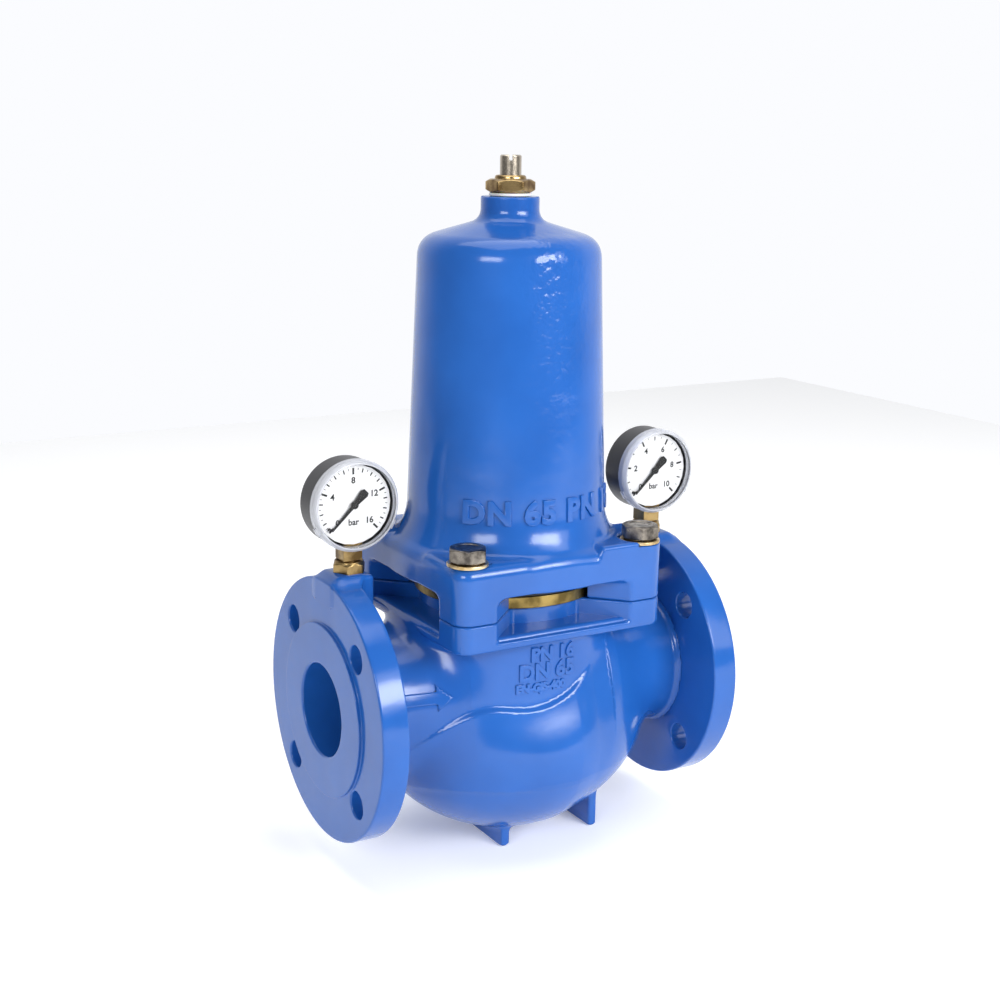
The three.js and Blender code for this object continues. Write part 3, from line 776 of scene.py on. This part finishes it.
# --------------------------------------------------------------------------------------------------
# Bonnet screws: zinc-plated hexagon-head set screws, one through each leg, on plain washers. The
# forged heads are darker and slightly rounded at the corners; the washers keep the yellow cast of
# their passivation.
# --------------------------------------------------------------------------------------------------
def zinc_plate(name, hex_light, hex_dark, roughness):
    """Zinc plating on forged steel: grey with a faint yellow or brown cloud from its passivation,
    and the forging's scale of about 1.5 mm showing as a low unevenness."""
    material, tree, shader, place = start_material(name, Metallic=1.0)
    cloud = noise(tree, place, 0.007, 5.0)
    tint = add_node(tree, "ShaderNodeValToRGB", {"Fac": cloud.outputs["Fac"]})
    tint.color_ramp.elements[0].position, tint.color_ramp.elements[0].color = 0.36, colour(hex_dark)
    tint.color_ramp.elements[1].position, tint.color_ramp.elements[1].color = 0.6, colour(hex_light)
    tree.links.new(tint.outputs["Color"], shader.inputs["Base Color"])
    uneven_gloss(tree, shader, cloud, roughness + 0.15, roughness)
    scale = noise(tree, place, 0.003, 3.0)
    uneven_surface(tree, shader, scale, 0.0003, 0.5)
    return material


dark_zinc = zinc_plate("zinc plated forged steel", "#8C857C", "#4A4642", 0.22)
yellow_zinc = zinc_plate("yellow passivated zinc", "#E2CDA4", "#B79B68", 0.28)


def hexagon(across, rows, segments=96, corner_round=0.985):
    """A hexagon turned from bar: the flats' radius at angle a is half the width over the cosine of
    a's distance from the nearest flat, cut off near the corners by a round. rows holds (share,
    radius, height, slope): the row's radius is that share of the hexagon's, or the plain radius
    where share is 0, and slope drops the row as the hexagon stands out past the radius, as a turned
    chamfer does."""
    angle = np.arange(segments) * 2 * np.pi / segments
    apart = (angle % (np.pi / 3)) - np.pi / 6
    corner = across / 2 / math.cos(math.pi / 6)
    outline = np.minimum(across / 2 / np.cos(apart), corner * corner_round)
    radius, height = [], []
    for share, plain, z, slope in rows:
        ring = outline * share if share else np.full(segments, float(plain))
        radius.append(ring)
        height.append(z + slope * np.maximum(ring - plain, 0) if share else np.full(segments, float(z)))
    return np.array(radius), np.array(height)


def shaded(piece, bevel=0.25, angle=32):
    """Softens the piece's edges and weights its normals."""
    settle_mesh(piece)
    piece.modifiers.clear()
    soft = piece.modifiers.new("soft edges", "BEVEL")
    soft.width, soft.segments = bevel * MM, 2
    soft.limit_method, soft.angle_limit = "ANGLE", math.radians(angle)
    weighted = piece.modifiers.new("area weighted normals", "WEIGHTED_NORMAL")
    weighted.mode = "FACE_AREA"
    return piece


HEAD_ACROSS = 24
HEAD_HEIGHT = 10
HEAD_TURNS = (40, 17, 0, 5)  # degrees at which each head came to rest
for number, (sx, sy) in enumerate([(1, 1), (-1, 1), (-1, -1), (1, -1)], 1):
    place = np.array([sx * BOLT_AT, sy * BOLT_AT, 0])
    shank_low, head_top = heights(f"bonnet_bolt_{number}")
    head_low = head_top - HEAD_HEIGHT
    radius, height = hexagon(HEAD_ACROSS, [
        (0, 0, head_top - 0.7, 0), (0, 7.6, head_top - 0.7, 0), (0, 8.6, head_top, 0),
        (0, 11.2, head_top, 0),
        (1, 11.2, head_top, -0.55), (1, 11.7, head_low + 0.9, 0.3), (0, 11.5, head_low, 0),
        (0, 8, head_low, 0),
        (0, 8, shank_low + 1, 0), (0, 7, shank_low, 0), (0, 0, shank_low, 0)])
    points, faces = around(radius[::-1], height[::-1], False)
    turn = math.radians(HEAD_TURNS[number - 1])
    shaded(new_piece(f"bonnet_screw_{number}", spun(points, turn) + place, faces, dark_zinc, "valve",
                     [f"bonnet_bolt_{number}"]), 0.3)
    washer_low, washer_high = heights(f"bolt_washer_{number}")
    points, faces = turned([(8.5, washer_low, 0.2), (14, washer_low, 0.3), (14, washer_high, 0.7),
                            (8.5, washer_high, 0.3)], 96)
    settle_mesh(new_piece(f"screw_washer_{number}", points + place, faces, yellow_zinc, "valve",
                          [f"bolt_washer_{number}"]))

# --------------------------------------------------------------------------------------------------
# Adjusting screw, lock nut and seal: a steel spindle threaded at 2 mm pitch with a plain slotted
# end, locked by a brass hexagon nut with a short collar, which squeezes a white nylon washer on the
# neck.
# --------------------------------------------------------------------------------------------------
def nickelled_steel():
    """Bright nickel over steel: pale, warm and nearly mirror smooth, with fine turning marks."""
    material, tree, shader, place = start_material("nickel plated steel", Metallic=1.0, Roughness=0.2)
    shader.inputs["Base Color"].default_value = colour("#B9AFA0")
    rub = noise(tree, place, 0.004, 3.0)
    uneven_gloss(tree, shader, rub, 0.14, 0.34)
    uneven_surface(tree, shader, rub, 0.00012, 0.4)
    return material


nickel = nickelled_steel()
screw_low, screw_high = heights("adjusting_screw")
PITCH = 2
THREAD_DEPTH = 1.1
THREAD_TOP = screw_high - 14.5
per_turn = 48
rows = np.arange(screw_low + 1.2, THREAD_TOP, PITCH / 8)
angle = np.arange(per_turn) * 2 * np.pi / per_turn
phase = (rows[:, None] / PITCH - angle[None, :] / (2 * np.pi)) % 1
crest = np.clip(1.6 - np.abs(phase - 0.5) * 4, 0, 1)
fade = np.clip(np.minimum(rows - screw_low - 1.2, THREAD_TOP - rows) / PITCH, 0, 1)[:, None]
thread = 7.85 - THREAD_DEPTH + crest * THREAD_DEPTH * fade
ends = [(0, screw_low), (6.4, screw_low), (6.75, screw_low + 0.6)]
tip = [(6.75, THREAD_TOP + 0.2), (7.4, THREAD_TOP + 0.9), (7.4, screw_high - 0.9), (6.6, screw_high),
       (0, screw_high)]
radius = np.vstack([np.full((1, per_turn), float(r)) for r, _ in ends] + [thread]
                   + [np.full((1, per_turn), float(r)) for r, _ in tip])
height = np.concatenate([[z for _, z in ends], rows, [z for _, z in tip]])[:, None] + np.zeros(per_turn)
points, faces = around(radius, height, False)
spindle = new_piece("adjusting_spindle", points, faces, nickel, "screw",
                    ["adjusting_screw"])
settle_mesh(spindle).modifiers.clear()
SLOT_WIDTH, SLOT_DEPTH = 2.2, 3.7


def block(centre, half):
    """A closed box as points and faces that point out."""
    signs = np.array([[-1, -1, -1], [1, -1, -1], [1, 1, -1], [-1, 1, -1], [-1, -1, 1], [1, -1, 1],
                      [1, 1, 1],
                      [-1, 1, 1]])
    faces = np.array([[0, 3, 2, 1], [4, 5, 6, 7], [0, 1, 5, 4], [1, 2, 6, 5], [2, 3, 7, 6],
                      [3, 0, 4, 7]])
    return np.array(centre) + signs * np.array(half), faces


slot_points, slot_faces = block((0, 0, screw_high), (SLOT_WIDTH / 2, 12, SLOT_DEPTH))
slant = math.radians(-30)
cut_away(spindle, [(spun(slot_points, slant), slot_faces)])
shaded(spindle, 0.12, 40)

NUT_ACROSS = 30
nut_low, nut_high = heights("lock_nut")
collar_rise = 2.6
body_high_z = nut_high - collar_rise
radius, height = hexagon(NUT_ACROSS, [
    (0, 8.2, nut_high - 0.6, 0), (0, 8.8, nut_high, 0), (0, 9.8, nut_high, 0),
    (0, 10.6, nut_high - 0.8, 0),
    (0, 10.9, body_high_z, 0), (0, 14, body_high_z, 0), (1, 14, body_high_z, -0.6),
    (1, 14, nut_low, 0.6),
    (0, 14, nut_low, 0), (0, 8.8, nut_low, 0), (0, 8.2, nut_low + 0.6, 0)], corner_round=0.99)
points, faces = around(radius[::-1], height[::-1], True)
nut_brass = turned_brass("forged brass nut", "#C4A876", "#6B5231", 0.2)
shaded(new_piece("brass_lock_nut", spun(points, slant), faces, nut_brass, "nut", ["lock_nut"]),
       0.35)


def nylon():
    """White nylon: soft satin, faintly warm, with light going a little way in."""
    material, tree, shader, place = start_material("white nylon", Roughness=0.42, IOR=1.53)
    shader.inputs["Subsurface Weight"].default_value = 0.25
    shader.inputs["Subsurface Scale"].default_value = 0.002
    mottle = noise(tree, place, 0.005, 2.0)
    tint = add_node(tree, "ShaderNodeMix", {"Factor": mottle.outputs["Fac"]}, data_type="RGBA")
    tint.inputs[6].default_value, tint.inputs[7].default_value = colour("#F4F3EF"), colour("#E6E5E0")
    tree.links.new(tint.outputs[2], shader.inputs["Base Color"])
    return material


white_nylon = nylon()
washer_low, washer_high = heights("seal_washer")
points, faces = turned([(8.3, washer_low, 0.2), (14.5, washer_low, 0.4), (14.5, washer_high, 0.5),
                        (8.3, washer_high, 0.2)], 96)
settle_mesh(new_piece("nylon_seal", points, faces, white_nylon, "washer", ["seal_washer"]))

# --------------------------------------------------------------------------------------------------
# Adjusting spring: round spring steel wound to six and a half turns, black with a thin oiled scale.
# It stands between two plates inside the housing, and shortens from either end.
# --------------------------------------------------------------------------------------------------
def oiled_spring_steel():
    """Oil-tempered wire: near black, half gloss, with a brown cast where the scale is thin."""
    material, tree, shader, place = start_material("oiled spring steel", Metallic=1.0, Roughness=0.4)
    scale = noise(tree, place, 0.006, 4.0)
    two_tone(tree, shader, scale, "#2A2724", "#57514A")
    uneven_surface(tree, shader, scale, 0.0001, 0.5)
    return material


spring_low, spring_high = heights("adjusting_spring")
WIRE = 4.6
COIL_RADIUS = (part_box("adjusting_spring")[1].x / MM) - WIRE
TURNS = 6.5


def wound_wire(first, last, coil, wire, low, high, steps=210, sides=20):
    """A tube on a helix from one turn to another: the middle climbs evenly with the angle t, at
    (coil cos t, coil sin t), and each ring of points is (wire cos s) outwards and (wire sin s)
    upwards; flat caps close both ends."""
    t = np.linspace(first, last, steps)
    t = np.concatenate([t[:1], t, t[-1:]])[:, None] * 2 * np.pi
    s = np.arange(sides)[None, :] * 2 * np.pi / sides
    size = np.full((steps + 2, 1), float(wire))
    size[[0, -1]] = 0
    middle = low + wire + (high - low - 2 * wire) * t / (TURNS * 2 * np.pi)
    reach = coil + size * np.cos(s)
    points = np.stack([reach * np.cos(t), reach * np.sin(t), middle + size * np.sin(s)],
                      -1).reshape(-1, 3)
    i, j = np.meshgrid(np.arange(steps + 1), np.arange(sides), indexing="ij")
    over = (j + 1) % sides
    faces = np.stack([i * sides + j, (i + 1) * sides + j, (i + 1) * sides + over, i * sides + over], -1)
    return points, faces.reshape(-1, 4)


# The stem lifts the spring's foot and the spring plate moves its head; the spring is drawn as two
# pieces, its lower and its upper half.
wire_metal = oiled_spring_steel()
for half, first, last, body, tip in (("lower", 0, TURNS / 2, "stem", spring_low),
                                     ("upper", TURNS / 2, TURNS, "spring_plate", spring_high)):
    points, faces = wound_wire(first, last, COIL_RADIUS, WIRE, spring_low, spring_high)
    spring = new_piece(f"wound_spring_{half}", points, faces, wire_metal, None,
                       ["adjusting_spring"])
    settle_mesh(spring).modifiers.clear()
    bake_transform(spring)

# --------------------------------------------------------------------------------------------------
# Rolling diaphragm: moulded black nitrile rubber over fabric, 2 mm thick, clamped at its rim
# between cartridge and bonnet and lifted in its middle by the stem.
# --------------------------------------------------------------------------------------------------
def nitrile_rubber():
    """Moulded nitrile: matt black with a fabric's print of 1 mm pitch just showing."""
    material, tree, shader, place = start_material("moulded nitrile rubber", Roughness=0.62, IOR=1.52)
    print_mark = noise(tree, place, 0.001, 2.0)
    two_tone(tree, shader, print_mark, "#161616", "#262626")
    uneven_surface(tree, shader, print_mark, 0.00008, 0.5)
    return material


rubber = nitrile_rubber()
RIM_LOW, RIM_HIGH = 80.3, 82.3
MIDDLE_LOW, MIDDLE_HIGH = 84.3, 86.3
points, faces = turned([
    (8.4, MIDDLE_LOW, 0.2), (45.5, MIDDLE_LOW, 1.5), (49, RIM_LOW, 1.5), (64.5, RIM_LOW, 0.3),
    (64.5, RIM_HIGH, 0.3),
    (49.4, RIM_HIGH, 1.5), (46, MIDDLE_HIGH, 1.5), (8.4, MIDDLE_HIGH, 0.2)], 128)
diaphragm = new_piece("rolling_diaphragm", points, faces, rubber, None, ["diaphragm"])
settle_mesh(diaphragm)
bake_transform(diaphragm)

# --------------------------------------------------------------------------------------------------
# Pressure gauges: two 63 mm gauges with moulded cases, each on a square brass stem that a ring nut
# locks in the boss. The left one reads the inlet, to 16 bar, and the right one the outlet, to 10
# bar; both rest on zero.
# --------------------------------------------------------------------------------------------------
def moulded_case():
    """Black ABS from a spark-eroded mould: satin, with a fine grain drawn at 0.7 mm, coarser than
    the real 0.3."""
    material, tree, shader, place = start_material("moulded black plastic", IOR=1.54, Roughness=0.36)
    grain = noise(tree, place, 0.0009, 2.0)
    two_tone(tree, shader, grain, "#1A1A1D", "#29282C")
    uneven_gloss(tree, shader, grain, 0.32, 0.46)
    uneven_surface(tree, shader, grain, 0.00003, 0.5)
    return material


def clear_moulding(name, hex_value, thin, thick):
    """Clear polycarbonate: it lets most light through face on and less towards its edges, where
    there is more of it to look through; its gloss has a slight mould waviness 6 mm across."""
    material, tree, shader, place = start_material(name, IOR=1.58)
    shader.inputs["Base Color"].default_value = colour(hex_value)
    wave = noise(tree, place, 0.012, 1.0)
    uneven_surface(tree, shader, wave, 0.0001, 0.4)
    uneven_gloss(tree, shader, wave, 0.03, 0.08)
    edge = add_node(tree, "ShaderNodeLayerWeight", {"Blend": 0.3})
    veil = add_node(tree, "ShaderNodeMapRange",
                    {"Value": edge.outputs["Fresnel"], "To Min": thin, "To Max": thick})
    tree.links.new(veil.outputs["Result"], shader.inputs["Alpha"])
    return material


def dial_paint():
    """White enamel on aluminium sheet: clean, satin, with the faintest unevenness."""
    material, tree, shader, place = start_material("white dial enamel", Roughness=0.4, IOR=1.5)
    patch = noise(tree, place, 0.015, 2.0)
    two_tone(tree, shader, patch, "#F4F5F7", "#FFFFFF")
    return material


def matt_black(name, hex_value, roughness):
    """Matt black lacquer or ink, a little uneven in its gloss."""
    material, tree, shader, place = start_material(name, IOR=1.5)
    shader.inputs["Base Color"].default_value = colour(hex_value)
    patch = noise(tree, place, 0.002, 2.0)
    uneven_gloss(tree, shader, patch, roughness - 0.08, roughness + 0.08)
    return material


case_plastic = moulded_case()
lens_plastic = clear_moulding("clear lens", "#16171A", 0.03, 0.5)
# The rim's pale grey-white veil is painted light: it stands in for the bright room seen refracted
# through the thick clear plastic.
rim_plastic_with_painted_refraction = clear_moulding("clear lens rim with painted refraction", "#E4E6EC", 0.42, 0.9)
dial_white = dial_paint()
printing_ink = matt_black("dial printing ink", "#1B1B1D", 0.5)
pointer_black = matt_black("pointer lacquer", "#0E0E10", 0.45)
gauge_brass = turned_brass("gauge stem brass", "#A68D5F", "#5E4A2C", 0.26)
GAUGE_HEIGHT = ((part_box("inlet_gauge_case")[0].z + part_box("inlet_gauge_case")[1].z) / 2 - AXIS) / MM
CASE_RADIUS = 30.6
LENS_RADIUS = 28.6
DIAL_FACE = 8.0
SCALE_RADIUS = 25.2
SWEEP = 270
ZERO_BEARING = 225  # degrees from +X
LENS_BACK, LENS_FRONT = 12.6, 15
RIM_RADIUS = 31.6


def facing_reader(points, centre):
    """Stands a gauge's own frame up at its place: its Z turns to face the reader and its Y points
    up."""
    x, y, z = np.asarray(points, float).T
    return np.stack([x + centre, -z, y + GAUGE_HEIGHT], 1)


def plates(centres, angles, halves, low, high):
    """Many flat bars at once, each centred on its place and turned by its angle. Box corners (+-a,
    +-b) turn by the angle and shift by the centre."""
    signs = np.array([[-1, -1], [1, -1], [1, 1], [-1, 1]])
    corner = signs[None] * np.asarray(halves, float)[:, None]
    c, s = np.cos(angles)[:, None], np.sin(angles)[:, None]
    x = centres[:, :1] + corner[..., 0] * c - corner[..., 1] * s
    y = centres[:, 1:] + corner[..., 0] * s + corner[..., 1] * c
    points = np.concatenate([np.stack([x, y, np.full_like(x, z)], -1) for z in (low, high)],
                            1).reshape(-1, 3)
    box = np.array([[0, 3, 2, 1], [4, 5, 6, 7], [0, 1, 5, 4], [1, 2, 6, 5], [2, 3, 7, 6], [3, 0, 4, 7]])
    faces = (np.arange(len(centres))[:, None, None] * 8 + box[None]).reshape(-1, 4)
    return points, faces.tolist()


def joined(parts):
    """One mesh from several (points, faces)."""
    points, faces, start = [], [], 0
    for some_points, some_faces in parts:
        points.append(some_points)
        faces += [[i + start for i in face] for face in some_faces]
        start += len(some_points)
    return np.concatenate(points), faces


def dial_scale(full, labelled, fine):
    """Ticks and numerals round the sweep: value v stands at the bearing of zero less its share of
    the sweep."""
    def bearing(value):
        return np.radians(ZERO_BEARING - SWEEP * np.asarray(value, float) / full)

    parts = []
    ticks = np.arange(0, full + fine / 2, fine)
    main = np.isclose(ticks % labelled, 0) | np.isclose(ticks % labelled, labelled)
    unit = np.isclose(ticks % 1, 0) | np.isclose(ticks % 1, 1)
    length = np.where(main, 4.4, np.where(unit, 2.8, 1.6))
    width = np.where(main, 1.4, np.where(unit, 0.9, 0.4))
    angle = bearing(ticks)
    reach = SCALE_RADIUS - length / 2
    centres = np.stack([reach * np.cos(angle), reach * np.sin(angle)], 1)
    parts.append(plates(centres, angle, np.stack([length / 2, width / 2], 1), DIAL_FACE - 0.1,
                        DIAL_FACE + 0.06))
    for value in np.arange(0, full + 0.5, labelled):
        letters, letter_faces = lettering(f"{value:.0f}", 4.2, thickness=0.08, soften=0, bolder=0.16)
        spot = bearing(value)
        parts.append((letters + [16.6 * math.cos(spot), 16.6 * math.sin(spot), DIAL_FACE], letter_faces))
    letters, letter_faces = lettering("bar", 4.2, thickness=0.08, soften=0, bolder=0.14)
    parts.append((letters + [0, -12.2, DIAL_FACE], letter_faces))
    return joined(parts)


for prefix, full, labelled, fine in (("inlet", 16, 4, 0.5), ("outlet", 10, 2, 0.5)):
    socket_low, socket_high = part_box(f"{prefix}_gauge_socket")
    centre = (socket_low.x + socket_high.x) / 2 / MM
    case = [(0, -13, 0), (CASE_RADIUS, -13, 3), (CASE_RADIUS, 9, 0.4), (CASE_RADIUS - 2, 9, 0.3),
            (CASE_RADIUS - 2, -10.5, 1), (0, -10.5, 0)]
    points, faces = turned(case, 128, closed=False)
    cup = new_piece(f"{prefix}_gauge_cup", facing_reader(points, centre), faces, case_plastic, "valve",
                    [f"{prefix}_gauge_case"])
    settle_mesh(cup)
    points, faces = turned([(0, -13.4, 0), (6.4, -13.4, 0.5), (6.4, -12, 0.3), (0, -12, 0)], 48,
                           closed=False)
    plug = new_piece(f"{prefix}_gauge_relief_plug",
                     facing_reader(points + np.array([0, 12, 0.4]), centre), faces,
                     rubber, "valve")
    settle_mesh(plug)
    points, faces = turned([(0, LENS_BACK, 0), (LENS_RADIUS - 0.1, LENS_BACK, 0.2),
                            (LENS_RADIUS - 0.1, LENS_FRONT, 0.4), (0, LENS_FRONT, 0)],
                           128, closed=False)
    lens = new_piece(f"{prefix}_gauge_lens", facing_reader(points, centre), faces, lens_plastic, "valve",
                     [f"{prefix}_gauge_window"])
    settle_mesh(lens)
    points, faces = turned([(LENS_RADIUS, 9.3, 0.2), (30.9, 9.3, 0), (30.9, 7.4, 0.2),
                            (RIM_RADIUS, 7.4, 0.2),
                            (RIM_RADIUS, 12, 1.5), (RIM_RADIUS - 2, LENS_FRONT, 0.8),
                            (LENS_RADIUS, LENS_FRONT, 0.2)], 128)
    ridge_points, ridge_faces = plates(np.array([[31.5 * math.cos(a),
                                                  31.5 * math.sin(a)] for a in (-0.52, 3.66)]),
                                       np.array([-0.52, 3.66]), [(1.2, 3.2)] * 2, 8.2, 11.6)
    points, faces = joined([(points, faces.tolist()), (ridge_points, ridge_faces)])
    bezel = new_piece(f"{prefix}_gauge_lens_rim", facing_reader(points, centre), faces, rim_plastic_with_painted_refraction,
                      "valve")
    settle_mesh(bezel)
    points, faces = dial_scale(full, labelled, fine)
    printing = new_piece(f"{prefix}_gauge_printing", facing_reader(points, centre), faces, printing_ink,
                         "valve")
    printing.data.shade_flat()
    stop = np.radians(ZERO_BEARING - 5)
    points, faces = turned([(0, DIAL_FACE - 0.2, 0), (1.1, DIAL_FACE - 0.2, 0),
                            (1.1, DIAL_FACE + 2.9, 0.4),
                            (0, DIAL_FACE + 2.9, 0)], 24, closed=False)
    points = points + np.array([23.6 * math.cos(stop), 23.6 * math.sin(stop), 0])
    settle_mesh(new_piece(f"{prefix}_gauge_stop_pin", facing_reader(points, centre), faces,
                          pointer_black, "valve"))
    side = 7.0
    stem_points, stem_faces = block((centre, 0, GAUGE_HEIGHT - 28.5), (side, side, 11))
    stem = new_piece(f"{prefix}_gauge_square", stem_points, stem_faces, gauge_brass, "valve",
                     [f"{prefix}_gauge_socket"])
    shaded(stem, 0.5, 30)
    points, faces = turned([(2, GAUGE_HEIGHT - 61, 0.3), (6.4, GAUGE_HEIGHT - 61, 0.6),
                            (6.4, GAUGE_HEIGHT - 39, 0),
                            (2, GAUGE_HEIGHT - 39, 0)], 48)
    settle_mesh(new_piece(f"{prefix}_gauge_spigot", points + [centre, 0, 0], faces, gauge_brass,
                          "valve"))
    low, high = heights(f"{prefix}_gauge_ring_nut")
    radius, height = hexagon(20.4, [
        (0, 6.8, high - 0.3, 0), (0, 7.2, high, 0), (0, 9.4, high, 0), (0, 10, high - 0.6, 0),
        (0, 10, high - 1.4, 0), (1, 9.9, high - 1.9, -0.45), (1, 9.9, low + 0.3, 0.3), (0, 9.8, low, 0),
        (0, 6.8, low, 0)], corner_round=0.985)
    points, faces = around(radius[::-1], height[::-1], True)
    shaded(new_piece(f"{prefix}_gauge_hexagon_nut", points + [centre, 0, 0], faces, gauge_brass,
                     "valve",
                     [f"{prefix}_gauge_ring_nut"]), 0.3)

# --------------------------------------------------------------------------------------------------
# Trim inside the valve: stainless stem, discs and seat, rubber seals and steel spring plates keep
# the drawing's own solids, and take the finish of the stock that each is turned from.
# --------------------------------------------------------------------------------------------------
def turned_stainless():
    """Turned stainless steel: cool grey, with tool marks of 0.4 mm drawn at 0.8 mm."""
    material, tree, shader, place = start_material("turned stainless steel", Metallic=1.0,
                                                   Roughness=0.28)
    shader.inputs["Base Color"].default_value = colour("#C4C5C6")
    tool_marks = add_node(tree, "ShaderNodeTexWave",
                          {"Vector": place, "Scale": 1 / 0.0052, "Distortion": 0.8},
                          bands_direction="Z")
    uneven_gloss(tree, shader, tool_marks, 0.22, 0.36)
    uneven_surface(tree, shader, tool_marks, 0.00003, 0.4)
    return material


stainless = turned_stainless()
finishes = {"blue_coating": blue_coat, "brass": brass, "zinc_steel": nickel,
            "stainless_steel": stainless,
            "spring_steel": wire_metal, "nylon": white_nylon,
            "rubber": rubber, "black_plastic": case_plastic, "clear_plastic": lens_plastic,
            "dial_white": dial_white, "pointer_black": pointer_black}
for part in frame["record"]["subparts"]:
    node = frame["nodes"].get(part["node"])
    if node is not None and not node.hide_render:
        node.data.materials.clear()
        node.data.materials.append(finishes[part["material_slot"]])

# --------------------------------------------------------------------------------------------------
# Studio: a pale paper floor in a room that brightens towards the far side, two soft boxes and a
# broad fill in front, and a broad soft light overhead.
# --------------------------------------------------------------------------------------------------
def studio_paper():
    """Matt white background paper, with fibre about 1 mm across."""
    material, tree, shader, place = start_material("studio paper", Roughness=0.9, Emission_Strength=0.2)
    shader.inputs["Emission Color"].default_value = colour("#FFFFFF")
    fibre = noise(tree, place, 0.002, 3.0)
    two_tone(tree, shader, fibre, "#F6F7F8", "#FFFFFF")
    return material


floor_mesh = bpy.data.meshes.new("studio_floor")
u, v = np.meshgrid(np.linspace(-1.6, 1.6, 2), np.linspace(-1.6, 1.6, 2), indexing="ij")
floor_mesh.from_pydata(np.stack([u, v, 0 * u], -1).reshape(-1, 3), [], [(0, 2, 3, 1)])
floor_mesh.materials.append(studio_paper())
floor = bpy.data.objects.new("studio_floor", floor_mesh)
bpy.context.scene.collection.objects.link(floor)

room = bpy.data.worlds.new("pale room")
bpy.context.scene.world = room
room.use_nodes = True
room.node_tree.nodes["Background"].inputs["Color"].default_value = colour("#FBFCFF")
heading = add_node(room.node_tree, "ShaderNodeTexCoord")
towards = add_node(room.node_tree, "ShaderNodeVectorMath",
                   {0: heading.outputs["Generated"], 1: (0.55, 0.83, 0.05)}, operation="DOT_PRODUCT")
bright = add_node(room.node_tree, "ShaderNodeMapRange",
                  {"Value": towards.outputs["Value"], "From Min": -0.1, "From Max": 0.7, "To Min": 0.22,
                   "To Max": 1.0},
                  interpolation_type="SMOOTHSTEP")
room.node_tree.links.new(bright.outputs["Result"], room.node_tree.nodes["Background"].inputs["Strength"])


def soft_box(name, place, aim, size, power):
    """A rectangular area light at a place, turned to face its aim."""
    data = bpy.data.lights.new(name, "AREA")
    data.shape, data.size, data.size_y, data.energy = "RECTANGLE", size[0], size[1], power
    lamp = bpy.data.objects.new(name, data)
    bpy.context.scene.collection.objects.link(lamp)
    lamp.location = place
    lamp.rotation_euler = (Vector(aim) - Vector(place)).to_track_quat("-Z", "Y").to_euler()


MIDDLE = (0, 0, 0.22)
soft_box("left soft box", (-1.5, -1.15, 0.95), MIDDLE, (0.9, 0.5), 14)
soft_box("right soft box", (0.5, -1.8, 0.95), MIDDLE, (1.1, 0.6), 28)
soft_box("front fill", (1.6, -3.0, 1.7), MIDDLE, (2.0, 2.0), 34)
soft_box("overhead", (0, 0.1, 2.0), MIDDLE, (1.6, 1.6), 18)
bpy.context.scene.view_settings.view_transform = "Standard"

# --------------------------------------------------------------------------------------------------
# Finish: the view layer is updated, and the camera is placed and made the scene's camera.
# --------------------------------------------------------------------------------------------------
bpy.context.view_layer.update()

camera_data = bpy.data.cameras.new("camera")
camera_data.lens, camera_data.sensor_width = 58.35, 36
camera_data.clip_end = 20
camera = bpy.data.objects.new("camera", camera_data)
bpy.context.scene.collection.objects.link(camera)
azimuth, elevation, roll = (math.radians(a) for a in (-30.323, 13.290, 0.834))
back = Vector((math.sin(azimuth) * math.cos(elevation), -math.cos(azimuth) * math.cos(elevation),
               math.sin(elevation)))
level_right = Vector((0, 0, 1)).cross(back).normalized()
level_up = back.cross(level_right)
right = level_right * math.cos(roll) + level_up * math.sin(roll)
up = level_up * math.cos(roll) - level_right * math.sin(roll)
camera.matrix_world = Matrix((right, up, back)).transposed().to_4x4()
camera.location = Vector((-0.5715, -0.9692, 0.3987 + AXIS))
bpy.context.scene.camera = camera
